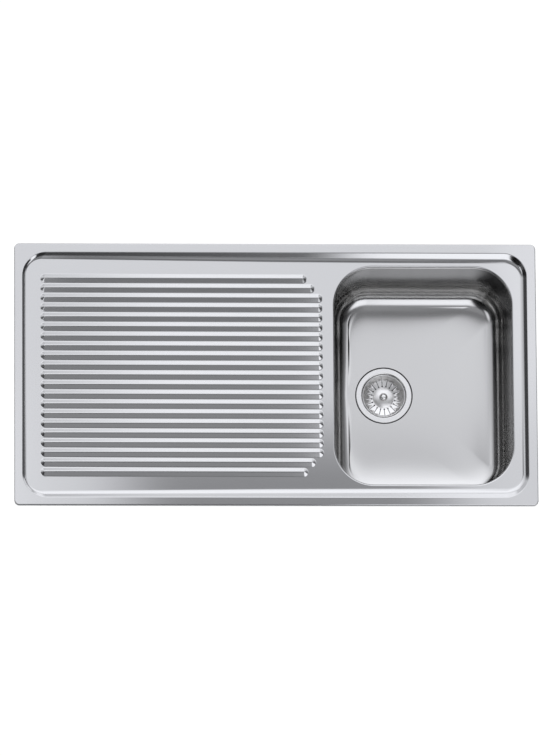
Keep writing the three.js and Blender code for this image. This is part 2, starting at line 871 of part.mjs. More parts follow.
/** Turned pull knob whose stem goes through the basket's dome into the clip. */
function basketKnob() {
  const seat = basketPlate + basketDomeRise;
  const top = seat + knobHeight;
  const stemEnd = seat - basketSheet - clipWall;
  return turned([
    [0, stemEnd],
    [knobStemRadius, stemEnd],
    [knobStemRadius, seat],
    [knobNeckRadius + 1, seat],
    [knobNeckRadius, seat + knobHeight * 0.25],
    [knobNeckRadius, seat + knobHeight * 0.45],
    [knobRadius, seat + knobHeight * 0.65],
    [knobRadius, seat + knobHeight * 0.85],
    [knobRadius * 0.75, top],
    [0, top],
  ], smallSteps);
}

/** Spring cup under the dome that snaps over the centre screw's head. */
function basketClip() {
  const top = basketPlate + basketDomeRise - basketSheet;
  const low = wellFloor + 2 * fitGap;
  const inner = centreScrewHeadRadius + clipClearance;
  const hole = knobStemRadius + fitGap;
  return turned([
    [inner, low],
    [inner + clipWall, low],
    [inner + clipWall, top],
    [hole, top],
    [hole, top - clipWall + fitGap],
    [inner, top - clipWall + fitGap],
    [inner, low],
  ], smallSteps);
}

function basketSeal() {
  const inner = basketDomeRadius + basketSheet;
  const low = wellFloor + fitGap;
  return turnedRing(inner, basketSealRadius, low, low + basketSealThickness, hiddenSteps);
}

function flangeSeal() {
  return turnedRing(wellRadius + flangeSheet + fitGap, flangeRadius - 1, seatLevel, flangeBase, wasteSteps);
}

function bodySeal() {
  return turnedRing(drainHoleRadius + 1, bodyCollarRadius - 1, bodyTop, seatLevel - sheet, hiddenSteps);
}

addPiece('waste_flange', wasteFlange(), polishedSteel(), waste);
addPiece('flange_seal', flangeSeal(), rubber(), waste);
addPiece('body_seal', bodySeal(), rubber(), waste);
addPiece('waste_body', wasteBody(), greyPlastic(), waste);
addPiece('body_insert', bodyInsert(), brass(), waste);
addPiece('centre_screw', centreScrew(), zincPlate(), waste);
addPiece('basket', basket(), polishedSteel(), waste);
addPiece('basket_knob', basketKnob(), polishedSteel(), waste);
addPiece('basket_clip', basketClip(), greyPlastic(), waste);
addPiece('basket_seal', basketSeal(), rubber(), waste);

// ---------------------------------------------------------------- worktop clamps

const armTop = -worktopThickest - jawParkClearance - jawHeight;
const washerTop = armTop - armSheet - fitGap;
const washerLow = washerTop - clampWasherThickness;
const screwHeadTop = washerLow - fitGap;
const clampInset = bowlFrontMargin - sheet - lugBack - lugToBowl;

/** Bracket spot-welded under the deck: foot, back and a tapped shelf that the screw climbs in. */
function clampLug(footTop) {
  const shelfLow = -lugShelfDepth - lugShelfThickness;
  const profile = [
    [-lugBack, shelfLow], [lugReach, shelfLow], [lugReach, -lugShelfDepth],
    [lugSheet - lugBack, -lugShelfDepth], [lugSheet - lugBack, footTop - lugSheet],
    [lugReach, footTop - lugSheet], [lugReach, footTop], [-lugBack, footTop],
  ];
  const drill = bar(clampScrewRadius + screwClearance, shelfLow - 1, 1 - lugShelfDepth, clampSteps);
  return cutAway(bentStrip(profile, lugWidth), [drill]);
}

function clampScrew() {
  const shankTop = clampScrewAboveShelf - lugShelfDepth;
  const headLow = screwHeadTop - clampScrewHeadHeight;
  const blank = turned([
    [0, headLow],
    [clampScrewHeadRadius * 0.8, headLow],
    [clampScrewHeadRadius, headLow + clampScrewHeadHeight / 3],
    [clampScrewHeadRadius, screwHeadTop],
    [clampScrewRadius, screwHeadTop],
    [clampScrewRadius, shankTop - clampScrewRadius / 3],
    [clampScrewRadius * 0.7, shankTop],
    [0, shankTop],
  ], clampSteps);
  const half = clampScrewSlot / 2;
  const reach = 2 * clampScrewHeadRadius;
  const slot = box([-reach, -half, headLow - 1], [reach, half, headLow + clampScrewHeadHeight / 2]);
  return cutAway(blank, [slot]);
}

function clampWasher() {
  return turnedRing(
    clampScrewRadius + screwClearance, clampWasherRadius, washerLow, washerTop, clampSteps,
  );
}

/** Flat arm with its jaw bent up; drawn pointing outward and parked along the edge. */
function clampArm() {
  const profile = [
    [-armTail, armTop - armSheet], [armReach, armTop - armSheet], [armReach, armTop + jawHeight],
    [armReach - armSheet, armTop + jawHeight], [armReach - armSheet, armTop], [-armTail, armTop],
  ];
  const drill = bar(clampScrewRadius + screwClearance, armTop - 2 * armSheet, armTop + 1, clampSteps);
  const arm = cutAway(bentStrip(profile, armWidth), [drill]);
  arm.rotateZ(Math.PI / 2);
  return arm;
}

/** Places round the edge: outward is the turn that takes the front edge's outward side to this edge's. */
function clampStations() {
  const farX = -halfLength + clampEndDistance;
  const along = [farX, (farX + bowlCentreX) / 2, bowlCentreX];
  const sideY = halfDepth - clampInset;
  const sideX = halfLength - clampInset;
  return [
    ...along.map((x) => ({ x, y: -sideY, outward: 0 })),
    { x: sideX, y: 0, outward: Math.PI / 2 },
    ...along.toReversed().map((x) => ({ x, y: sideY, outward: Math.PI })),
    { x: -sideX, y: 0, outward: -Math.PI / 2 },
  ];
}

clampStations().forEach(({ x, y, outward }, index) => {
  const clamp = new THREE.Group();
  clamp.position.set(x, y, 0);
  clamp.rotation.z = outward;
  sink.add(clamp);
  const number = index + 1;
  const footTop = deckLevel(x) - sheet - fitGap;
  addPiece(`clamp_lug_${number}`, clampLug(footTop), zincPlate(), clamp);
  addPiece(`clamp_screw_${number}`, clampScrew(), zincPlate(), clamp);
  addPiece(`clamp_washer_${number}`, clampWasher(), zincPlate(), clamp);
  addPiece(`clamp_arm_${number}`, clampArm(), zincPlate(), clamp);
});

export default sink;
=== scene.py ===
"""Dresses an inset kitchen sink: pressed deck with a ribbed drainer, drawn bowl, basket waste and clamps.

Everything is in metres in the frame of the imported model: the origin is the sink's centre on the worktop's top
face, +X runs from the drainer to the bowl, +Y from the front edge to the back edge, +Z is up.
"""

from __future__ import annotations

import logging
import math
from collections.abc import Callable, Iterable, Sequence
from dataclasses import dataclass, replace
from enum import Enum
from functools import partial

import bpy
from mathutils import Matrix, Vector
from mathutils.geometry import tessellate_polygon


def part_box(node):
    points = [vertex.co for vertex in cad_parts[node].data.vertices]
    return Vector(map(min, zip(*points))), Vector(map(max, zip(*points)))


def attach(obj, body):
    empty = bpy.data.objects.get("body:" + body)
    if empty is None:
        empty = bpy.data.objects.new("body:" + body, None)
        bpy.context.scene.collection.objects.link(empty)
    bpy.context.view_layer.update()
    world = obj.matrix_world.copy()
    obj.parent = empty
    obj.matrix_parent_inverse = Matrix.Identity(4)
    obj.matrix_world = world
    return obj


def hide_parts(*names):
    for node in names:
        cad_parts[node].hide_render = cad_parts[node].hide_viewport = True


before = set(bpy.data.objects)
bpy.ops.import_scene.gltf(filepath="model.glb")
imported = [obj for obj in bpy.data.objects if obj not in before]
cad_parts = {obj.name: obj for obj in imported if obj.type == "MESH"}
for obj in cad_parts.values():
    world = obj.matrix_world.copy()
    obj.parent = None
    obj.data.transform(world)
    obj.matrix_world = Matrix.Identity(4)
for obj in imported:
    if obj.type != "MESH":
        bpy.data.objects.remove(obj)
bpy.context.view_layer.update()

LOG = logging.getLogger("sink")
MM = 0.001
REFLECTANCE = 0.62
COOL_LIGHT = (0.97, 0.985, 1.04, 1.0)
EVEN = (1.0, 1.0, 1.0)
ROUND_GRAIN = (20.0, 20.0, 20.0)
FINE_GRAIN = 0.0005 * MM
WHITE = (1.0, 1.0, 1.0, 1.0)

Colour = tuple[float, float, float]
Corner = tuple[Vector, Vector]
Row = list[Corner]


# ---------------------------------------------------------------------------------------------- shaders


class Wire:
    """A node's output socket that takes part in Python arithmetic on plain values."""

    def __init__(self, graph: ShaderGraph, socket: bpy.types.NodeSocket) -> None:
        """Wraps a socket of the graph."""
        self.graph = graph
        self.socket = socket

    def _math(self, operation: str, first: float | Wire, second: float | Wire) -> Wire:
        """Adds one Math node."""
        return self.graph.node("ShaderNodeMath", {"operation": operation}, {0: first, 1: second})

    def __add__(self, other: float | Wire) -> Wire:
        """self + other."""
        return self._math("ADD", self, other)

    def __radd__(self, other: float | Wire) -> Wire:
        """other + self."""
        return self._math("ADD", other, self)

    def __sub__(self, other: float | Wire) -> Wire:
        """self - other."""
        return self._math("SUBTRACT", self, other)

    def __rsub__(self, other: float | Wire) -> Wire:
        """other - self."""
        return self._math("SUBTRACT", other, self)

    def __mul__(self, other: float | Wire) -> Wire:
        """self * other."""
        return self._math("MULTIPLY", self, other)

    def __rmul__(self, other: float | Wire) -> Wire:
        """other * self."""
        return self._math("MULTIPLY", other, self)


class ShaderGraph:
    """The node tree of a material or of the world."""

    def __init__(self, owner: bpy.types.Material | bpy.types.World) -> None:
        """Empties the owner's node tree and keeps it."""
        owner.use_nodes = True
        self.tree = owner.node_tree
        self.tree.nodes.clear()

    def node(self, kind: str, settings: dict, sockets: dict, output: int | str = 0) -> Wire:
        """Adds a node.

        Args:
            kind: The node's type, such as ShaderNodeTexNoise.
            settings: Attributes of the node; "stops" holds a ramp's positions and grey levels.
            sockets: Values or wires by the input's name or index.
            output: Name or index of the output that is wanted.

        Returns:
            The wanted output.
        """
        made = self.tree.nodes.new(kind)
        for name, value in settings.items():
            if name == "stops":
                self._set_stops(made.color_ramp, value)
            else:
                setattr(made, name, value)
        for key, value in sockets.items():
            if isinstance(value, Wire):
                self.tree.links.new(value.socket, made.inputs[key])
            else:
                made.inputs[key].default_value = value
        return Wire(self, made.outputs[output])

    @staticmethod
    def _set_stops(ramp: bpy.types.ColorRamp, stops: Sequence[tuple[float, float]]) -> None:
        """Writes grey stops of (position, level) to a ramp."""
        while len(ramp.elements) < len(stops):
            ramp.elements.new(1.0)
        for element, (position, level) in zip(ramp.elements, stops):
            element.position = position
            element.color = (level, level, level, 1.0)

    def mix_colour(self, factor: float | Wire, first: Colour | Wire, second: Colour | Wire) -> Wire:
        """Blends two colours by a factor."""
        inputs = {0: factor, 6: _rgba(first), 7: _rgba(second)}
        return self.node("ShaderNodeMix", {"data_type": "RGBA"}, inputs, 2)

    def coordinates(self, stretch: Colour = EVEN) -> Wire:
        """The object's own coordinates in metres, scaled along each axis."""
        place = self.node("ShaderNodeTexCoord", {}, {}, "Object")
        return self.node("ShaderNodeVectorMath", {"operation": "MULTIPLY"}, {0: place, 1: stretch})

    def noise(self, stretch: Colour, scale: float, detail: float = 2.0) -> Wire:
        """Procedural noise around one half, in features of 1 / (scale * stretch) metres."""
        sockets = {"Vector": self.coordinates(stretch), "Scale": scale, "Detail": detail}
        return self.node("ShaderNodeTexNoise", {}, sockets, "Fac")

    def soft_step(self, value: Wire, width: float) -> Wire:
        """Rises smoothly from zero to one while the value goes from zero to width."""
        settings = {"interpolation_type": "SMOOTHSTEP"}
        return self.node("ShaderNodeMapRange", settings, {"Value": value, "From Min": 0.0, "From Max": width})

    def bump(self, height: Wire, strength: float, distance: float) -> Wire:
        """A Bump node for the Normal input."""
        return self.node("ShaderNodeBump", {}, {"Strength": strength, "Distance": distance, "Height": height})

    def end(self, shader: Wire, kind: str = "ShaderNodeOutputMaterial") -> None:
        """Ends the tree in its output node."""
        last = self.tree.nodes.new(kind)
        self.tree.links.new(shader.socket, last.inputs["Surface"])


def _rgba(colour: Colour | Wire) -> tuple[float, ...] | Wire:
    """A colour with full alpha, or the wire as it is."""
    if isinstance(colour, Wire):
        return colour
    return (*colour, 1.0)


@dataclass(frozen=True)
class Finish:
    """A surface finish; subclasses say what varies over the surface."""

    name: str
    slot: str
    colour: Colour
    roughness: float

    def material(self) -> bpy.types.Material:
        """The Blender material of this finish, made once."""
        found = bpy.data.materials.get(self.name)
        if found:
            return found
        made = bpy.data.materials.new(self.name)
        graph = ShaderGraph(made)
        shader = graph.node("ShaderNodeBsdfPrincipled", {}, self.sockets(graph))
        graph.end(shader)
        return made

    def sockets(self, graph: ShaderGraph) -> dict:
        """Values and wires of the Principled shader's inputs."""
        raise NotImplementedError


@dataclass(frozen=True)
class BrushedSteel(Finish):
    """Stainless steel with a fine directional grain."""

    grain: Colour = (3.0, 80.0, 80.0)
    grain_depth: float = 0.0015 * MM
    roughness_spread: float = 0.03
    tone_spread: float = 0.02
    grain_scale: float = 8.0
    cloud_scale: float = 7.0
    cloud_share: float = 0.6
    bump_strength: float = 0.25

    def sockets(self, graph: ShaderGraph) -> dict:
        """Grain in the normal and the roughness, and broad clouds in the tone."""
        grain = graph.noise(self.grain, self.grain_scale)
        cloud = graph.noise(EVEN, self.cloud_scale)
        darker = tuple(channel * (1.0 - 2.0 * self.tone_spread) for channel in self.colour)
        rough = self.roughness + self.roughness_spread * (grain - 0.5)
        rough = rough + self.roughness_spread * (cloud - 0.5)
        mottle = cloud * self.cloud_share + grain * (1.0 - self.cloud_share)
        return {
            "Base Color": graph.mix_colour(mottle, darker, self.colour),
            "Metallic": 1.0,
            "Roughness": rough,
            "Normal": graph.bump(grain, self.bump_strength, self.grain_depth),
        }


@dataclass(frozen=True)
class DrawnSteel(BrushedSteel):
    """Steel of the bowl, painted darker inside its back walls in place of dark reflections."""

    # The fields below place a painted dark reflection on the inner side of the back walls: its colour,
    # strength, and where it sets in.
    painted_reflection_colour: Colour = (0.06, 0.06, 0.06)
    painted_reflection_share: float = 0.88
    painted_reflection_foot: float = -150 * MM
    painted_reflection_rise: float = 45 * MM
    painted_reflection_front: float = 30 * MM
    painted_reflection_depth: float = 120 * MM
    inward_width: float = 0.1

    def sockets(self, graph: ShaderGraph) -> dict:
        """The brushed steel, darkened by a painted dark reflection from the foot of the walls up and from the
        middle to the back.
        """
        found = super().sockets(graph)
        place = graph.coordinates()
        along, height = (graph.node("ShaderNodeSeparateXYZ", {}, {0: place}, axis) for axis in "YZ")
        # Painted reflection: inside the back walls the base colour goes near black, in place of the dark
        # surroundings that the walls would mirror.
        painted_reflection = graph.soft_step(height - self.painted_reflection_foot, self.painted_reflection_rise)
        painted_reflection = painted_reflection * graph.soft_step(along - self.painted_reflection_front, self.painted_reflection_depth)
        painted_reflection = painted_reflection * graph.soft_step(self.inward(graph), self.inward_width)
        found["Base Color"] = graph.mix_colour(painted_reflection * self.painted_reflection_share, found["Base Color"], self.painted_reflection_colour)
        return found

    @staticmethod
    def inward(graph: ShaderGraph) -> Wire:
        """How far the surface looks towards the middle of the piece; below zero on its outer side."""
        box, side = (graph.node("ShaderNodeTexCoord", {}, {}, name) for name in ("Generated", "Normal"))
        shares = []
        for axis in "XY":
            across, lean = (graph.node("ShaderNodeSeparateXYZ", {}, {0: wire}, axis) for wire in (box, side))
            shares.append((0.5 - across) * lean)
        return shares[0] + shares[1]


@dataclass(frozen=True)
class SpeckledPolymer(Finish):
    """Rubber, foam or moulded plastic with a fine uneven skin."""

    cell_scale: float = 900.0
    skin_depth: float = 0.08 * MM
    tone_spread: float = 0.25
    cloud_scale: float = 30.0
    roughness_spread: float = 0.2
    bump_strength: float = 0.4
    cell_detail: float = 4.0
    cloud_share: float = 0.5

    def sockets(self, graph: ShaderGraph) -> dict:
        """Cells in the normal, and in the tone and the roughness."""
        cells = graph.noise(EVEN, self.cell_scale, self.cell_detail)
        cloud = graph.noise(EVEN, self.cloud_scale)
        darker = tuple(channel * (1.0 - self.tone_spread) for channel in self.colour)
        mottle = cells * (1.0 - self.cloud_share) + cloud * self.cloud_share
        return {
            "Base Color": graph.mix_colour(mottle, darker, self.colour),
            "Roughness": self.roughness + self.roughness_spread * (cells - 0.5),
            "Normal": graph.bump(cells, self.bump_strength, self.skin_depth),
        }


@dataclass(frozen=True)
class PlatedMetal(Finish):
    """Zinc plate or machined brass, a little blotched."""

    tone_spread: float = 0.18
    blotch_scale: float = 160.0
    mark_stretch: Colour = (80.0, 80.0, 900.0)
    mark_scale: float = 12.0
    mark_depth: float = 0.01 * MM
    roughness_spread: float = 0.18
    bump_strength: float = 0.3
    blotch_detail: float = 3.0

    def sockets(self, graph: ShaderGraph) -> dict:
        """Blotches in the tone and the roughness, and fine turning marks in the normal."""
        blotch = graph.noise(EVEN, self.blotch_scale, self.blotch_detail)
        marks = graph.noise(self.mark_stretch, self.mark_scale)
        darker = tuple(channel * (1.0 - self.tone_spread) for channel in self.colour)
        return {
            "Base Color": graph.mix_colour(blotch, darker, self.colour),
            "Metallic": 1.0,
            "Roughness": self.roughness + self.roughness_spread * (blotch - 0.5),
            "Normal": graph.bump(marks, self.bump_strength, self.mark_depth),
        }


class Finishes(Enum):
    """The finishes of the sink's pieces."""

    DECK = BrushedSteel("satin_steel_deck", "steel", (0.626, 0.624, 0.620), 0.13)
    # The bowl's steel carries a painted dark reflection on the inner side of its back walls.
    BOWL = DrawnSteel("satin_steel_bowl", "steel", (0.618, 0.614, 0.604), 0.17, (50.0, 50.0, 3.0), FINE_GRAIN)
    POLISHED = BrushedSteel("polished_steel", "polished", (0.80, 0.795, 0.785), 0.20, ROUND_GRAIN, FINE_GRAIN)
    STRAINER = BrushedSteel("strainer_steel", "polished", (0.86, 0.852, 0.84), 0.30, ROUND_GRAIN, FINE_GRAIN)
    ZINC = PlatedMetal("zinc_plate", "zinc", (0.66, 0.67, 0.69), 0.38)
    BRASS = PlatedMetal("turned_brass", "brass", (0.72, 0.52, 0.22), 0.30)
    RUBBER = SpeckledPolymer("black_rubber", "rubber", (0.030, 0.030, 0.033), 0.62)
    SEAL = SpeckledPolymer("grey_seal", "rubber", (0.17, 0.17, 0.175), 0.60)
    DAMPING = SpeckledPolymer("damping_sheet", "damping", (0.055, 0.056, 0.062), 0.80, 500.0, 0.2 * MM)
    FOAM = SpeckledPolymer("foam_strip", "foam", (0.075, 0.075, 0.080), 0.92, 1400.0, 0.2 * MM)
    PLASTIC = SpeckledPolymer("moulded_plastic", "plastic", (0.80, 0.80, 0.79), 0.42, 1800.0, 0.02 * MM, 0.05)


# ---------------------------------------------------------------------------------------------- mesh drafts


class MeshDraft:
    """Faces with exact normals at their corners; points that coincide become one vertex."""

    GRID = 1e-7

    def __init__(self) -> None:
        """Starts with nothing."""
        self.points: list[Vector] = []
        self.faces: list[list[int]] = []
        self.normals: list[list[Vector]] = []
        self._known: dict[tuple[int, int, int], int] = {}

    def vertex(self, point: Vector) -> int:
        """The index of the vertex at a point."""
        key = tuple(round(value / self.GRID) for value in point)
        if key not in self._known:
            self._known[key] = len(self.points)
            self.points.append(point.copy())
        return self._known[key]

    def face(self, corners: Sequence[Corner]) -> None:
        """Adds a face of (point, normal) corners, turned to look along its normals."""
        indices, normals = [], []
        for point, normal in corners:
            index = self.vertex(point)
            if index not in indices:
                indices.append(index)
                normals.append(normal)
        if len(indices) < 3:
            return
        first, second, third = (self.points[i] for i in indices[:3])
        facing = (second - first).cross(third - second)
        if facing.dot(sum(normals, Vector())) < 0:
            indices.reverse()
            normals.reverse()
        self.faces.append(indices)
        self.normals.append(normals)

    def band(self, first: Row, second: Row) -> None:
        """Joins two closed rows with quads."""
        for i in range(len(first)):
            self.face([first[i - 1], first[i], second[i], second[i - 1]])

    def fill(self, outer: Row, holes: Sequence[Row] = ()) -> None:
        """Fills the region, as seen from above, between an outline and its holes."""
        loops = [outer, *holes]
        corners = [corner for loop in loops for corner in loop]
        flat = [[Vector((point.x, point.y, 0.0)) for point, _ in loop] for loop in loops]
        for triangle in tessellate_polygon(flat):
            self.face([corners[i] for i in triangle])

    def shell(self, thickness: float) -> None:
        """Turns the open surface into a closed sheet, thickened away from its normals."""
        lean = [Vector() for _ in self.points]
        for indices, normals in zip(self.faces, self.normals):
            for index, normal in zip(indices, normals):
                lean[index] += normal
        under = [point - thickness * side.normalized() for point, side in zip(self.points, lean)]
        skin = list(zip(self.faces, self.normals))
        edges: dict[tuple[int, int], int] = {}
        for indices, _ in skin:
            for a, b in zip(indices, indices[1:] + indices[:1]):
                edges[a, b] = edges.get((a, b), 0) + 1
        upper = list(self.points)
        for indices, normals in skin:
            self.face([(under[i], -n) for i, n in zip(indices, normals)])
        for a, b in [edge for edge in edges if (edge[1], edge[0]) not in edges]:
            along = upper[b] - upper[a]
            outward = along.cross(lean[a] + lean[b]).normalized()
            self.face([(upper[a], outward), (upper[b], outward), (under[b], outward), (under[a], outward)])

    def spin(self, path: Row, steps: int) -> None:
        """Adds the surface that a path of (radius, height) corners sweeps round the Z axis."""
        rows = [turned_row(place, normal, steps) for place, normal in path]
        for first, second in zip(rows, rows[1:]):
            self.band(first, second)

    def move(self, offset: Vector) -> None:
        """Shifts every vertex."""
        for point in self.points:
            point += offset

    def build(self, name: str) -> bpy.types.Object:
        """Makes the Blender object with its exact normals."""
        mesh = bpy.data.meshes.new(name)
        mesh.from_pydata([tuple(point) for point in self.points], [], self.faces)
        mesh.shade_smooth()
        mesh.normals_split_custom_set([tuple(n.normalized()) for normals in self.normals for n in normals])
        made = bpy.data.objects.new(name, mesh)
        bpy.context.scene.collection.objects.link(made)
        return made


def around(place: Vector, normal: Vector, angle: float) -> Corner:
    """A (radius, height) place and its normal turned about the Z axis."""
    c, s = math.cos(angle), math.sin(angle)
    return Vector((place.x * c, place.x * s, place.y)), Vector((normal.x * c, normal.x * s, normal.y))


def turned_row(place: Vector, normal: Vector, steps: int) -> Row:
    """The circle that a (radius, height) corner of a path makes round the Z axis."""
    return [around(place, normal, 2 * math.pi * k / steps) for k in range(steps)]


def rounded_path(places: Sequence[tuple[float, float, float]], steps: int = 6) -> Row:
    """Rounds the bends of a path across half the section of a turned piece.

    Args:
        places: The path's (radius, height, bend radius); the material lies on its right.
        steps: Steps in each bend.

    Returns:
        Its points with their normals, both as (radius, height).
    """
    points = [Vector(place[:2]) for place in places]
    angles = [math.atan2(b.y - a.y, b.x - a.x) for a, b in zip(points, points[1:])]
    path = [(points[0], Vector((-math.sin(angles[0]), math.cos(angles[0]))))]
    for before, after, point, place in zip(angles, angles[1:], points[1:], places[1:]):
        turn = math.remainder(after - before, 2 * math.pi)
        signed = math.copysign(place[2], turn)
        start = point - place[2] * math.tan(abs(turn) / 2) * Vector((math.cos(before), math.sin(before)))
        centre = start + signed * Vector((-math.sin(before), math.cos(before)))
        for step in range(steps + 1):
            angle = before + turn * step / steps
            normal = Vector((-math.sin(angle), math.cos(angle)))
            path.append((centre - signed * normal, normal))
    path.append((points[-1], Vector((-math.sin(angles[-1]), math.cos(angles[-1])))))
    return path


def swept_row(ring: Callable[[float], list[Vector]], share: float) -> Row:
    """A ring of a surface that looks up, with normals from the rings and points next to it.

    Args:
        ring: Gives the ring's points at a share of the way across the surface.
        share: Where on the surface the ring is wanted.

    Returns:
        The ring's points and normals.
    """
    nearby = 1e-3
    before, points, after = (ring(share + offset) for offset in (-nearby, 0.0, nearby))
    row = []
    for index, point in enumerate(points):
        along = points[(index + 1) % len(points)] - points[index - 1]
        normal = along.cross(after[index] - before[index]).normalized()
        row.append((point, normal if normal.z > 0 else -normal))
    return row


@dataclass(frozen=True)
class Outline:
    """A rounded rectangle in plan."""

    centre: tuple[float, float]
    half_x: float
    half_y: float
    radius: float
    corner_steps: int = 24
    side_steps: int = 4
    least_radius: float = 1e-4

    def outset(self, distance: float) -> Outline:
        """The outline grown by a distance all round."""
        grown = {"half_x": self.half_x + distance, "half_y": self.half_y + distance}
        return replace(self, radius=max(self.radius + distance, self.least_radius), **grown)

    def stations(self) -> Row:
        """Its points, anticlockwise, each with its outward direction, both at height zero."""
        found = []
        for corner, (sx, sy) in enumerate(((1, 1), (-1, 1), (-1, -1), (1, -1))):
            for step in range(self.corner_steps + 1):
                angle = (corner + step / self.corner_steps) * math.pi / 2
                outward = Vector((math.cos(angle), math.sin(angle), 0.0))
                middle = Vector((sx * (self.half_x - self.radius), sy * (self.half_y - self.radius), 0.0))
                found.append((Vector((*self.centre, 0.0)) + middle + self.radius * outward, outward))
        per_corner = self.corner_steps + 1
        spread = []
        for index, (point, outward) in enumerate(found):
            spread.append((point, outward))
            if (index + 1) % per_corner == 0:
                following = found[(index + 1) % len(found)][0]
                for side in range(1, self.side_steps):
                    spread.append((point.lerp(following, side / self.side_steps), outward))
        return spread


# ---------------------------------------------------------------------------------------------- pieces


def dress(piece: bpy.types.Object, finish: Finishes, body: str, nodes: Iterable[str]) -> bpy.types.Object:
    """Gives a piece its finish, its body and the CAD nodes that it stands for.

    Args:
        piece: The Blender object, in place.
        finish: Its finish.
        body: The CAD body that it moves with.
        nodes: The CAD nodes that it replaces.

    Returns:
        The same object.
    """
    piece.data.materials.clear()
    piece.data.materials.append(finish.value.material())
    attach(piece, body)
    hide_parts(*nodes)
    LOG.info("%s: %d faces on %s", piece.name, len(piece.data.polygons), body)
    return piece


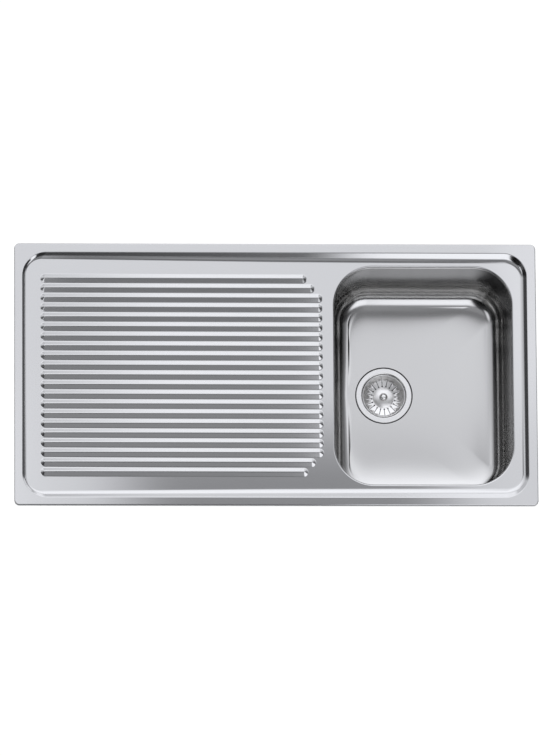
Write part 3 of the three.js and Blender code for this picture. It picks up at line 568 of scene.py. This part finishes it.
@dataclass
class Deck:
    """The pressed sheet: lip, rim, shoulder, falling deck, drainer ribs and the bowl's opening."""

    sheet: float = 0.9 * MM
    corner_radius: float = 10 * MM
    rim_height: float = 8 * MM
    rim_edge_radius: float = 1.8 * MM
    rim_width: float = 15.6 * MM
    tray_shift: tuple[float, float] = (-0.8 * MM, -0.9 * MM)
    lip_clearance: float = 0.3 * MM
    run_growth: float = 3.9
    run_offset: float = 3.5 * MM
    run_limit: float = 20.2 * MM
    run_at_ends: float = 1.9
    crest_share: float = 0.08
    foot_share: float = 0.45
    shoulder_corner: float = 48 * MM
    drop_at_drainer: float = 4.4 * MM
    drop_at_bowl: float = 7.2 * MM
    rib_count: int = 21
    rib_height: float = 3.2 * MM
    rib_lean: float = 1.2 * MM
    rib_bend: float = 0.2
    rib_valley: float = 0.5 * MM
    rib_crown: float = 0.02
    rib_front_margin: float = 55.3 * MM
    rib_back_margin: float = 58.4 * MM
    rib_left_margin: float = 49 * MM
    rib_to_bowl: float = 21 * MM
    rib_stagger: float = 15 * MM
    staggered_ribs: int = 2
    bowl_corner: float = 75 * MM
    opening_bend: float = 3.5 * MM
    weld_depth: float = 7 * MM
    bend_steps: int = 6
    shoulder_steps: int = 20
    rib_end_steps: int = 18

    def __post_init__(self) -> None:
        """Takes the outline and the opening from the frame."""
        _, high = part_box("sink_deck")
        self.half_x, self.half_y = high.x, high.y
        low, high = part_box("sink_bowl")
        middle = (low + high) / 2
        half = (high - low) / 2 - Vector((self.sheet, self.sheet, 0.0))
        self.opening = Outline((middle.x, middle.y), half.x, half.y, self.bowl_corner)
        self.rib_pitch = (2 * self.half_y - self.rib_front_margin - self.rib_back_margin) / self.rib_count

    def drop(self, x: float) -> float:
        """How far the deck lies below the rim."""
        share = (x + self.half_x) / (2 * self.half_x)
        return self.drop_at_drainer + (self.drop_at_bowl - self.drop_at_drainer) * share

    def level(self, x: float) -> float:
        """Height of the deck's top face."""
        return self.rim_height - self.drop(x)

    @property
    def plane(self) -> Vector:
        """Normal of the falling deck."""
        fall = (self.drop_at_bowl - self.drop_at_drainer) / (2 * self.half_x)
        return Vector((fall, 0.0, 1.0)).normalized()

    def lip_row(self, tilt: float, height: float | None = None) -> Row:
        """A ring of the rim's rounded edge; tilt leans its normal outward, height overrides the bend's."""
        inset = self.rim_edge_radius * (1 - math.sin(tilt))
        outline = Outline((0.0, 0.0), self.half_x, self.half_y, self.corner_radius)
        row = []
        bent = self.rim_height - self.rim_edge_radius * (1 - math.cos(tilt))
        for point, outward in outline.outset(-inset).stations():
            point.z = bent if height is None else height
            row.append((point, outward * math.sin(tilt) + Vector((0.0, 0.0, math.cos(tilt)))))
        return row

    def shoulder_fall(self, share: float) -> float:
        """Share of the drop that is reached across the shoulder: a tight crest, a flank and a wide foot."""
        share = min(max(share, 0.0), 1.0)
        steepest = 2 / (1 + self.foot_share - self.crest_share)
        if share < self.crest_share:
            return steepest * share**2 / (2 * self.crest_share)
        if share < self.foot_share:
            return steepest * (share - self.crest_share / 2)
        return 1 - steepest * (1 - share) ** 2 / (2 * (1 - self.foot_share))

    def shoulder_ring(self, share: float) -> list[Vector]:
        """Points round the tray at a share of the way across its shoulder, wider where it is deeper."""
        mean = (self.drop_at_drainer + self.drop_at_bowl) / 2
        at_end = self.run_at_ends * share
        middle_x, middle_y = self.tray_shift
        middle_x += at_end * (self.drop_at_drainer - self.drop_at_bowl) / 2

        def half_depth(drop: float) -> float:
            run = min(self.run_growth * drop - self.run_offset, self.run_limit)
            return self.half_y - self.rim_width - run * share

        corner = self.shoulder_corner - (self.half_y - self.rim_width - half_depth(mean))
        half_length = self.half_x - self.rim_width - at_end * mean
        ring = []
        for point, _ in Outline((middle_x, 0.0), half_length, half_depth(mean), corner).stations():
            point.y = middle_y + point.y * half_depth(self.drop(point.x)) / half_depth(mean)
            point.z = self.rim_height - self.shoulder_fall(share) * self.drop(point.x)
            ring.append(point)
        return ring

    def rib_lift(self, share: float) -> float:
        """Height of a rib at a share of its half width, with a bend on top and one at the foot."""
        steepest = self.rib_height / (1 - self.rib_bend)
        if share < self.rib_bend:
            return self.rib_height - steepest * share**2 / (2 * self.rib_bend)
        if share < 1 - self.rib_bend:
            return self.rib_height - steepest * (share - self.rib_bend / 2)
        return steepest * max(1 - share, 0.0) ** 2 / (2 * self.rib_bend)

    def rib_ring(self, index: int, share: float) -> list[Vector]:
        """Points round a rib at a share of its half width; the outermost ribs stop short of the bowl."""
        half_width = (self.rib_pitch - self.rib_valley) / 2
        from_edge = min(index, self.rib_count - 1 - index)
        short_by = self.rib_stagger * max(self.staggered_ribs - from_edge, 0)
        centre_y = (self.rib_front_margin - self.rib_back_margin) / 2
        y = centre_y + ((self.rib_count - 1) / 2 - index) * self.rib_pitch
        left = -self.half_x + self.rib_left_margin + half_width
        right = self.opening.centre[0] - self.opening.half_x - self.rib_to_bowl - short_by - half_width
        ring = []
        for centre_x, start in ((right, -math.pi / 2), (left, math.pi / 2)):
            for step in range(self.rib_end_steps + 1):
                angle = start + math.pi * step / self.rib_end_steps
                outward = Vector((math.cos(angle), math.sin(angle), 0.0))
                middle = Vector((centre_x, y + self.rib_lean * (1 - share), 0.0))
                point = middle + half_width * share * outward
                point.z = self.level(point.x) + self.rib_lift(share)
                ring.append(point)
        return ring

    def rib_shares(self) -> list[float]:
        """Where a rib's rings lie, from its foot up: close together in its two bends."""
        bend = [self.rib_bend * step / self.bend_steps for step in range(self.bend_steps + 1)]
        return [1 - share for share in bend] + bend[:0:-1] + [self.rib_crown]

    def opening_row(self, turned: float) -> Row:
        """A ring of the bend down into the opening, turned from the deck by an angle."""
        row = []
        for point, outward in self.opening.outset(self.opening_bend * (1 - math.sin(turned))).stations():
            point.z = self.level(point.x) - self.opening_bend * (1 - math.cos(turned))
            row.append((point, (self.plane * math.cos(turned) - outward * math.sin(turned)).normalized()))
        return row

    def build(self) -> bpy.types.Object:
        """Makes the deck as one closed sheet."""
        bends = [math.pi / 2 * step / self.bend_steps for step in range(self.bend_steps + 1)]
        shares = [step / self.shoulder_steps for step in range(self.shoulder_steps + 1)]
        edge = [self.lip_row(math.pi / 2, self.lip_clearance)]
        edge += [self.lip_row(tilt) for tilt in reversed(bends)]
        edge += [swept_row(self.shoulder_ring, share) for share in shares]
        mouth = [self.opening_row(turned) for turned in bends]
        mouth.append([(Vector((point.x, point.y, -self.weld_depth)), normal) for point, normal in mouth[-1]])
        draft = MeshDraft()
        for outer, inner in [*zip(edge, edge[1:]), *zip(mouth, mouth[1:])]:
            draft.band(outer, inner)
        feet = []
        for index in range(self.rib_count):
            rows = [swept_row(partial(self.rib_ring, index), share) for share in self.rib_shares()]
            for outer, inner in zip(rows, rows[1:]):
                draft.band(outer, inner)
            draft.fill(rows[-1])
            feet.append(rows[0])
        draft.fill(edge[-1], [mouth[0], *feet])
        draft.shell(self.sheet)
        return dress(draft.build("deck_pressing"), Finishes.DECK, "sink", ["sink_deck"])


@dataclass
class Waste:
    """Flange, its seal, slotted basket, pull knob and spring cup, all turned about the drain's axis."""

    brim_inset: float = 2.6 * MM
    flange_sheet: float = 1.2 * MM
    seal_radius: float = 45.2 * MM
    seal_inset: float = 0.6 * MM
    seal_bend: float = 0.3 * MM
    well_radius: float = 42.5 * MM
    well_taper: float = 2 * MM
    well_fillet: float = 5 * MM
    lip_bend: float = 2.4 * MM
    brim_bend_share: float = 0.45
    screw_hole: float = 3.3 * MM
    window_count: int = 6
    window_inner: float = 12 * MM
    window_outer: float = 30 * MM
    window_spoke: float = 4 * MM
    window_steps: int = 8
    basket_sheet: float = 0.8 * MM
    cone_radius: float = 36 * MM
    cone_rise: float = 4 * MM
    plate_radius: float = 20.5 * MM
    dome_rise: float = 4 * MM
    dome_bend: float = 60 * MM
    slot_count: int = 20
    slot_width: float = 1.2 * MM
    slot_margin: float = 0.6 * MM
    slot_hole: float = 1.5 * MM
    slot_steps: int = 16
    slit_steps: int = 4
    slot_offset: float = 0.25
    knob_radius: float = 8 * MM
    knob_height: float = 11 * MM
    knob_neck: float = 3 * MM
    ball_share: float = 1.15
    ball_top_share: float = 0.75
    ball_foot_share: float = 0.38
    stem_radius: float = 1.9 * MM
    stem_length: float = 2.8 * MM
    stem_gap: float = 0.3 * MM
    cup_wall: float = 1.2 * MM
    rim_gap: float = 0.01 * MM
    rim_bend_share: float = 0.6
    bend: float = 0.8 * MM
    steps: int = 160
    small_steps: int = 64
    hub_steps: int = 24
    knob_bend_steps: int = 12

    def __post_init__(self) -> None:
        """Takes the axis and the levels from the frame."""
        low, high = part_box("waste_flange")
        self.axis = Vector(((low.x + high.x) / 2, (low.y + high.y) / 2, 0.0))
        self.brim_radius = high.x - self.axis.x - self.brim_inset
        self.flange_top = high.z
        self.well_floor = low.z + self.flange_sheet
        self.seal_levels = [corner.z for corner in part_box("flange_seal")]
        low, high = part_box("basket")
        self.plate, self.basket_rim = low.z, high.z
        self.basket_radius = high.x - self.axis.x
        self.dome = self.plate + self.dome_rise
        low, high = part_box("basket_clip")
        self.cup_radius, self.cup_foot = (high.x - low.x) / 2, low.z

    def place(
        self, draft: MeshDraft, name: str, body: str, node: str, finish: Finishes = Finishes.POLISHED
    ) -> bpy.types.Object:
        """Moves a turned piece onto the drain's axis and dresses it."""
        draft.move(self.axis)
        return dress(draft.build(name), finish, body, [node])

    def window(self, index: int) -> Row:
        """Outline of one of the openings in the well's floor, a sector between two spokes."""
        row = []
        middle = 2 * math.pi * index / self.window_count
        half = math.pi / self.window_count
        for radius, way in ((self.window_outer, 1), (self.window_inner, -1)):
            reach = half - self.window_spoke / 2 / radius
            for step in range(-self.window_steps, self.window_steps + 1):
                angle = middle + way * reach * step / self.window_steps
                row.append(around(Vector((radius, self.well_floor)), Vector((0.0, 1.0)), angle))
        return row

    def flange(self) -> bpy.types.Object:
        """Dish that lies on the bowl's seat, with its windowed well."""
        floor_radius = self.well_radius - self.well_taper - self.well_fillet
        path = rounded_path(
            [
                (floor_radius, self.well_floor, 0.0),
                (self.well_radius - self.well_taper, self.well_floor, self.well_fillet),
                (self.well_radius, self.flange_top, self.lip_bend),
                (self.brim_radius, self.flange_top, self.brim_bend_share * self.flange_sheet),
                (self.brim_radius, self.flange_top - self.flange_sheet / 2, 0.0),
            ]
        )
        draft = MeshDraft()
        draft.spin(path, self.steps)
        level = Vector((0.0, 1.0))
        hub = turned_row(Vector((self.screw_hole, self.well_floor)), level, self.hub_steps)
        windows = [self.window(index) for index in range(self.window_count)]
        draft.fill(turned_row(*path[0], self.steps), [hub, *windows])
        draft.shell(self.flange_sheet)
        return self.place(draft, "flange_dish", "sink", "waste_flange")

    def seal(self) -> bpy.types.Object:
        """Flat ring between the flange's brim and the bowl's seat."""
        low, high = self.seal_levels
        inner, outer = self.seal_radius, self.brim_radius - self.seal_inset
        path = rounded_path(
            [
                (inner, low, 0.0),
                (inner, high, self.seal_bend),
                (outer, high, self.seal_bend),
                (outer, low, self.seal_bend),
                (inner, low, 0.0),
            ]
        )
        draft = MeshDraft()
        draft.spin(path, self.steps)
        return self.place(draft, "brim_seal", "sink", "flange_seal", Finishes.SEAL)

    def slot_row(self, index: int, foot: Vector, way: Vector) -> Row:
        """Outline of one slot in the cone: a round hole at its foot that runs out into a narrow slit.

        Args:
            index: The slot's number.
            foot: A (radius, height) place on the cone.
            way: The direction up the cone.

        Returns:
            Points on the cone with its normals.
        """
        half = self.slot_width / 2
        hole = foot.x + self.slot_margin + self.slot_hole
        end = self.cone_radius - self.slot_margin
        mouth = math.asin(half / self.slot_hole)
        plan = []
        for step in range(self.slot_steps + 1):
            angle = mouth + 2 * (math.pi - mouth) * step / self.slot_steps
            plan.append((hole + self.slot_hole * math.cos(angle), self.slot_hole * math.sin(angle)))
        start = plan[-1][0]
        slit = [(end - start) * step / self.slit_steps for step in range(self.slit_steps + 1)]
        plan += [(start + run, -half) for run in slit[1:]]
        plan += [(end - run, half) for run in slit[:-1]]
        turn = 2 * math.pi * (index + self.slot_offset) / self.slot_count
        row = []
        for x, y in plan:
            place = foot + way * ((math.hypot(x, y) - foot.x) / way.x)
            row.append(around(place, way.orthogonal(), turn + math.atan2(y, x)))
        return row

    def basket(self) -> bpy.types.Object:
        """Strainer: low dome over the screw, slotted cone, steep collar and rolled rim."""
        foot = Vector((self.plate_radius, self.plate + self.basket_sheet))
        head = Vector((self.cone_radius, self.plate + self.cone_rise))
        way = (head - foot).normalized()
        slotted = (foot + way * self.slot_margin / 2, head - way * self.slot_margin / 2)
        rim = self.basket_radius - self.rim_gap
        inner = rounded_path(
            [
                (self.stem_radius + self.stem_gap, self.dome, 0.0),
                (foot.x / 2 + self.stem_radius, self.dome, self.dome_bend),
                (*foot, self.bend),
                (*slotted[0], 0.0),
            ]
        )
        outer = rounded_path(
            [
                (*slotted[1], 0.0),
                (*head, self.bend),
                (rim - 2 * self.basket_sheet, self.basket_rim, self.basket_sheet),
                (rim, self.basket_rim, self.rim_bend_share * self.basket_sheet),
                (rim, self.basket_rim - self.basket_sheet, 0.0),
            ]
        )
        draft = MeshDraft()
        draft.spin(inner, self.steps)
        draft.spin(outer, self.steps)
        slots = [self.slot_row(index, foot, way) for index in range(self.slot_count)]
        edges = [turned_row(place, way.orthogonal(), self.steps) for place in slotted]
        draft.fill(edges[1], [edges[0], *slots])
        draft.shell(self.basket_sheet)
        return self.place(draft, "strainer", "basket", "basket", Finishes.STRAINER)

    def knob(self) -> bpy.types.Object:
        """Turned ball knob with a neck, on a stem that goes down through the dome."""
        top = self.dome + self.knob_height
        stem_end = self.dome - self.stem_length
        foot = top - self.ball_share * self.knob_radius
        path = rounded_path(
            [
                (0.0, top, 0.0),
                (self.knob_radius, top, self.ball_top_share * self.knob_radius),
                (self.knob_radius, foot, self.ball_foot_share * self.knob_radius),
                (self.knob_neck, foot, 0.0),
                (self.knob_neck, self.dome, 0.0),
                (self.stem_radius, self.dome, 0.0),
                (self.stem_radius, stem_end, 0.0),
                (0.0, stem_end, 0.0),
            ],
            self.knob_bend_steps,
        )
        draft = MeshDraft()
        draft.spin(path, self.small_steps)
        return self.place(draft, "pull_knob", "basket", "basket_knob")

    def cup(self) -> bpy.types.Object:
        """Spring cup under the dome that snaps over the centre screw's head."""
        top = self.dome - self.basket_sheet
        path = rounded_path(
            [
                (self.stem_radius + self.stem_gap, top, 0.0),
                (self.cup_radius, top, self.cup_wall / 2),
                (self.cup_radius, self.cup_foot, 0.0),
            ]
        )
        draft = MeshDraft()
        draft.spin(path, self.small_steps)
        draft.shell(self.cup_wall)
        return self.place(draft, "spring_cup", "basket", "basket_clip", Finishes.PLASTIC)

    def build(self) -> None:
        """Makes the five pieces."""
        self.flange()
        self.seal()
        self.basket()
        self.knob()
        self.cup()


@dataclass
class Bowl:
    """The deep-drawn bowl that is welded under the opening, its pressed drain seat and its damping sheet."""

    deck: Deck
    waste: Waste
    draft_inset: float = 5 * MM
    fillet: float = 41 * MM
    fillet_end: float = math.radians(14)
    fall: float = 3 * MM
    fall_length: float = 17 * MM
    short_run: float = 45 * MM
    seat_depth: float = 3 * MM
    seat_clearance: float = 0.4 * MM
    seat_slope: float = 2 * MM
    hole_radius: float = 45 * MM
    wall_rings: int = 6
    fillet_rings: int = 18
    floor_rings: int = 16
    ring_crowding: float = 1.8
    pad_gap: float = 0.05 * MM
    pad_sheet: float = 2.5 * MM
    pad_shares: tuple[float, ...] = (0.1, 0.2, 0.3, 0.45, 0.6, 0.75, 0.85)

    def __post_init__(self) -> None:
        """Takes the floor's level from the frame, and the drain's place and width from the waste."""
        self.drain = self.waste.axis
        self.seat_radius = self.waste.brim_radius + self.seat_clearance
        seat_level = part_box("sink_bowl")[0].z + self.deck.sheet
        self.low = seat_level + self.seat_depth
        self.floor = self.low + self.fall
        self.reach = self.fillet * (1 - math.sin(self.fillet_end))

    def wall_row(self, inset: float, height: float, tilt: float) -> Row:
        """A ring of the bowl; tilt leans its normal from straight in to straight up."""
        row = []
        for point, outward in self.deck.opening.outset(-inset).stations():
            point.z = height
            row.append((point, Vector((0.0, 0.0, math.sin(tilt))) - outward * math.cos(tilt)))
        return row

    def drain_row(self, radius: float, height: float, tilt: float) -> Row:
        """A ring round the drain with a quarter of its points to each corner of the bowl."""
        outline = self.deck.opening
        count = 4 * (outline.corner_steps + outline.side_steps)
        start = math.pi / 4 - outline.corner_steps / 2 * (2 * math.pi / count)
        row = []
        for index in range(count):
            angle = start + index * 2 * math.pi / count
            outward = Vector((math.cos(angle), math.sin(angle), 0.0))
            point = Vector((self.drain.x, self.drain.y, height)) + radius * outward
            row.append((point, Vector((0.0, 0.0, math.sin(tilt))) - outward * math.cos(tilt)))
        return row

    def shortness(self, edge: Vector, outward: Vector) -> float:
        """One where the floor has no room to fall between fillet and drain, and zero far from there."""
        foot = edge - outward * (self.draft_inset + self.reach)
        run = (foot - self.drain).to_2d().length - self.seat_radius - self.seat_slope
        return math.exp(-((run / self.short_run) ** 2))

    def fillet_ring(self, share: float) -> list[Vector]:
        """Points round the bowl at a share of the way down its fillet; it ends level where space is short."""
        ring = []
        for edge, outward in self.deck.opening.stations():
            short = self.shortness(edge, outward)
            slope = self.fillet_end * (1 - short)
            last = math.pi / 2 - slope
            depth = self.fall * short + self.fillet * math.cos(slope)
            across = (1 - math.cos(share * last)) / (1 - math.cos(last))
            point = edge - outward * (self.draft_inset + self.reach * across)
            point.z = self.floor + self.fillet - depth * math.sin(share * last) / math.sin(last)
            ring.append(point)
        return ring

    def floor_ring(self, share: float) -> list[Vector]:
        """Points round the floor at a share of the way from fillet to drain; it falls most at the fillet."""
        brim = self.drain_row(self.seat_radius + self.seat_slope, self.low, math.pi / 2)
        ring = []
        for foot, (end, _) in zip(self.fillet_ring(1.0), brim):
            run = (end - foot).to_2d().length
            whole = 1 - math.exp(-run / self.fall_length)
            fallen = (1 - math.exp(-share * run / self.fall_length)) / whole
            point = foot.lerp(end, share)
            point.z = foot.z + (self.low - foot.z) * fallen
            ring.append(point)
        return ring

    def pad(self) -> bpy.types.Object:
        """Damping sheet under the floor, which follows its fall."""
        draft = MeshDraft()
        rows = [swept_row(self.floor_ring, share) for share in self.pad_shares]
        for outer, inner in zip(rows, rows[1:]):
            draft.band(outer, inner)
        draft.move(Vector((0.0, 0.0, -self.deck.sheet - self.pad_gap)))
        draft.shell(self.pad_sheet)
        return dress(draft.build("damping_pad"), Finishes.DAMPING, "sink", ["bowl_pad"])

    def build(self) -> bpy.types.Object:
        """Makes the bowl as one closed sheet."""
        top = -self.deck.weld_depth
        wall_foot = self.floor + self.fillet
        lean = math.atan2(self.draft_inset, top - wall_foot)
        rows = [self.wall_row(0.0, top, 0.0)]
        for ring in range(1, self.wall_rings + 1):
            share = ring / self.wall_rings
            rows.append(self.wall_row(self.draft_inset * share, top + (wall_foot - top) * share, lean))
        for ring in range(1, self.fillet_rings + 1):
            rows.append(swept_row(self.fillet_ring, ring / self.fillet_rings))
        for ring in range(1, self.floor_rings + 1):
            rows.append(swept_row(self.floor_ring, (ring / self.floor_rings) ** self.ring_crowding))
        draft = MeshDraft()
        for outer, inner in zip(rows, rows[1:]):
            draft.band(outer, inner)
        flank = math.atan2(self.seat_slope, self.seat_depth)
        seat = self.low - self.seat_depth
        edge, level = self.seat_radius + self.seat_slope, math.pi / 2
        draft.band(self.drain_row(edge, self.low, flank), self.drain_row(self.seat_radius, seat, flank))
        seat_edge = self.drain_row(self.seat_radius, seat, level)
        draft.band(seat_edge, self.drain_row(self.hole_radius, seat, level))
        draft.shell(self.deck.sheet)
        return dress(draft.build("bowl_drawing"), Finishes.BOWL, "sink", ["sink_bowl"])


@dataclass
class Carried:
    """CAD nodes that keep their shape and get a finish."""

    finishes: dict[Finishes, tuple[str, ...]]

    def build(self) -> None:
        """Paints each node that no piece stands for."""
        for finish, prefixes in self.finishes.items():
            for name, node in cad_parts.items():
                if name.startswith(prefixes) and not node.hide_render:
                    node.data.materials.clear()
                    node.data.materials.append(finish.value.material())
                    LOG.info("%s: finish %s", name, finish.value.name)


# ---------------------------------------------------------------------------------------------- studio


def panel(
    name: str, paint_name: str, centre: tuple[float, float, float], size: tuple[float, float]
) -> tuple[bpy.types.Object, ShaderGraph]:
    """Makes a level rectangle for the studio.

    Args:
        name: The object's name.
        paint_name: Its material's name.
        centre: Its middle.
        size: Its sides along X and Y.

    Returns:
        The object, and the empty node tree of its material.
    """
    x, y, z = centre
    half_x, half_y = size[0] / 2, size[1] / 2
    corners = [(-half_x, -half_y), (half_x, -half_y), (half_x, half_y), (-half_x, half_y)]
    mesh = bpy.data.meshes.new(name)
    mesh.from_pydata([(x + dx, y + dy, z) for dx, dy in corners], [], [(0, 1, 2, 3)])
    made = bpy.data.objects.new(name, mesh)
    bpy.context.scene.collection.objects.link(made)
    paint = bpy.data.materials.new(paint_name)
    mesh.materials.append(paint)
    return made, ShaderGraph(paint)


@dataclass(frozen=True)
class Card:
    """A panel near the sink that only shows in reflections, with soft edges.

    Its level is the brightness that it has in the steel. Its fades are the shares of its size over which
    it sets in from its left, right, front and back edge.
    """

    name: str
    centre: tuple[float, float, float]
    size: tuple[float, float]
    level: float
    fades: tuple[float, float, float, float] = (0.2, 0.2, 0.2, 0.2)
    opacity: float = 1.0

    def mask(self, graph: ShaderGraph) -> Wire:
        """One inside the card and zero at its edges."""
        place = graph.node("ShaderNodeTexCoord", {}, {}, "Generated")
        across = graph.node("ShaderNodeSeparateXYZ", {}, {0: place}, "X")
        along = graph.node("ShaderNodeSeparateXYZ", {}, {0: place}, "Y")
        left, right, front, back = self.fades
        cover = graph.soft_step(across, left) * graph.soft_step(1.0 - across, right)
        return cover * graph.soft_step(along, front) * graph.soft_step(1.0 - along, back)

    def build(self) -> None:
        """Hangs the card in place."""
        made, graph = panel(self.name, self.name, self.centre, self.size)
        clear = graph.node("ShaderNodeBsdfTransparent", {}, {"Color": WHITE})
        light = {"Color": COOL_LIGHT, "Strength": self.level / REFLECTANCE}
        glow = graph.node("ShaderNodeEmission", {}, light)
        cover = self.mask(graph) * self.opacity
        graph.end(graph.node("ShaderNodeMixShader", {}, {0: cover, 1: clear, 2: glow}))
        made.visible_camera = False
        made.visible_shadow = False


@dataclass
class Studio:
    """Camera, floor, cards over the sink and the pale surroundings."""

    elevation: float = 78.149
    azimuth: float = 12.594
    roll: float = 12.463
    distance: float = 16.0
    lens: float = 398.44
    target: tuple[float, float] = (-1.584 * MM, -5.931 * MM)
    floor_level: float = -0.34
    floor_size: float = 60.0
    floor_colour: Colour = (0.9, 0.9, 0.9)
    floor_glow: float = 1.15
    floor_glow_share: float = 0.85
    clip_factor: float = 10
    corner_front: float = -0.15
    corner_left: float = -0.10
    corner_width: float = 0.25
    corner_share: float = 0.9
    horizon_foot: float = 0.04
    horizon_width: float = 0.10
    horizon_level: float = 0.8
    cards: tuple[Card, ...] = (
        Card("dim_card_over_front", (0.07, -0.06, 1.0), (0.88, 0.52), 0.24, (0.26, 0.25, 0.2, 0.4)),
        Card("bright_card_over_left", (-0.66, -0.02, 1.0), (0.60, 0.80), 0.78, (0.1, 0.4, 0.1, 0.5)),
        Card("bright_card_over_right", (0.72, 0.30, 1.0), (0.48, 0.60), 0.74, (0.1, 0.1, 0.4, 0.2)),
        Card("bright_card_front_right", (0.67, -0.70, 0.8), (1.16, 1.10), 0.92, (0.15, 0.3, 0.1, 0.18)),
        Card("dim_card_back_right", (0.55, 1.40, 0.5), (0.80, 0.80), 0.22, (0.4, 0.1, 0.3, 0.1)),
        Card("grey_card_back_left", (-0.62, 1.20, 0.6), (1.00, 1.00), 0.30, (0.1, 0.35, 0.1, 0.1), 0.55),
        Card("pale_card_far_front", (0.20, -3.58, 6.0), (1.80, 0.75), 0.31, (0.1, 0.2, 0.1, 0.85)),
    )

    def camera(self) -> None:
        """Places the camera far off in front, looking steeply down."""
        elevation, azimuth, roll = (math.radians(a) for a in (self.elevation, self.azimuth, self.roll))
        level = math.cos(elevation)
        ahead = Vector((math.sin(azimuth) * level, math.cos(azimuth) * level, -math.sin(elevation)))
        right = Vector((math.cos(azimuth), -math.sin(azimuth), 0.0))
        up = right.cross(ahead)
        rolled_right = math.cos(roll) * right + math.sin(roll) * up
        rolled_up = math.cos(roll) * up - math.sin(roll) * right
        data = bpy.data.cameras.new("camera")
        data.lens = self.lens
        data.clip_end = self.clip_factor * self.distance
        made = bpy.data.objects.new("camera", data)
        bpy.context.scene.collection.objects.link(made)
        turn = Matrix((rolled_right, rolled_up, -ahead)).transposed().to_4x4()
        made.matrix_world = Matrix.Translation(Vector((*self.target, 0.0)) - self.distance * ahead) @ turn
        bpy.context.scene.camera = made

    def floor(self) -> None:
        """A white floor under the sink that keeps a faint shadow."""
        sides = (self.floor_size, self.floor_size)
        made, graph = panel("floor", "white_floor", (0.0, 0.0, self.floor_level), sides)
        matt = graph.node("ShaderNodeBsdfDiffuse", {}, {"Color": _rgba(self.floor_colour)})
        glow = graph.node("ShaderNodeEmission", {}, {"Color": WHITE, "Strength": self.floor_glow})
        path = graph.node("ShaderNodeLightPath", {}, {}, "Is Camera Ray")
        seen = path * self.floor_glow_share
        graph.end(graph.node("ShaderNodeMixShader", {}, {0: seen, 1: matt, 2: glow}))

    def world(self) -> None:
        """Surroundings: black low in front, a dim ceiling, bright behind, pale at the horizon."""
        world = bpy.data.worlds.new("surroundings")
        bpy.context.scene.world = world
        graph = ShaderGraph(world)
        way = graph.node("ShaderNodeTexCoord", {}, {}, "Generated")
        parts = {axis: graph.node("ShaderNodeSeparateXYZ", {}, {0: way}, axis) for axis in "XYZ"}
        front_to_back = [
            (0.0, 0.02), (0.200, 0.02), (0.224, 0.15), (0.40, 0.16), (0.48, 0.11), (0.53, 0.16),
            (0.58, 0.63), (0.64, 0.72), (0.72, 0.86), (0.82, 0.94), (0.905, 0.90), (0.930, 0.50),
            (0.947, 0.92), (0.957, 0.94), (0.970, 0.50), (1.0, 0.48),
        ]
        ceiling = graph.node("ShaderNodeValToRGB", {"stops": front_to_back}, {0: parts["Y"] * 0.5 + 0.5})
        to_the_right = [
            (0.0, 0.06), (0.05, 0.06), (0.10, 0.6), (0.35, 0.95), (0.50, 1.0), (0.65, 0.95), (0.80, 0.5),
            (0.90, 0.15), (1.0, 0.10),
        ]
        sides = graph.node("ShaderNodeValToRGB", {"stops": to_the_right}, {0: parts["X"] * 0.5 + 0.5})
        dark_corner = graph.soft_step(self.corner_front - parts["Y"], self.corner_width)
        dark_corner = dark_corner * graph.soft_step(self.corner_left - parts["X"], self.corner_width)
        horizon = 1.0 - graph.soft_step(parts["Z"] - self.horizon_foot, self.horizon_width)
        level = ceiling * sides * (1.0 - self.corner_share * dark_corner) * (1.0 - horizon)
        level = level + self.horizon_level * horizon
        sky_sockets = {"Color": COOL_LIGHT, "Strength": level * (1.0 / REFLECTANCE)}
        graph.end(graph.node("ShaderNodeBackground", {}, sky_sockets), "ShaderNodeOutputWorld")

    def build(self) -> None:
        """Sets up everything that isn't part of the sink."""
        self.camera()
        self.floor()
        self.world()
        for card in self.cards:
            card.build()
        bpy.context.scene.view_settings.view_transform = "Standard"


# ---------------------------------------------------------------------------------------------- main


def main() -> None:
    """Builds the sink's pieces in order, then the studio."""
    logging.basicConfig(level=logging.INFO, format="%(name)s: %(message)s")
    deck, waste = Deck(), Waste()
    deck.build()
    bowl = Bowl(deck, waste)
    bowl.build()
    bowl.pad()
    waste.build()
    Carried(
        {
            Finishes.RUBBER: ("body_seal", "basket_seal"),
            Finishes.FOAM: ("rim_seal",),
            Finishes.PLASTIC: ("waste_body",),
            Finishes.BRASS: ("body_insert",),
            Finishes.ZINC: ("clamp_", "centre_screw", "earth_tag"),
        }
    ).build()
    Studio().build()


if __name__ == "__main__":
    main()
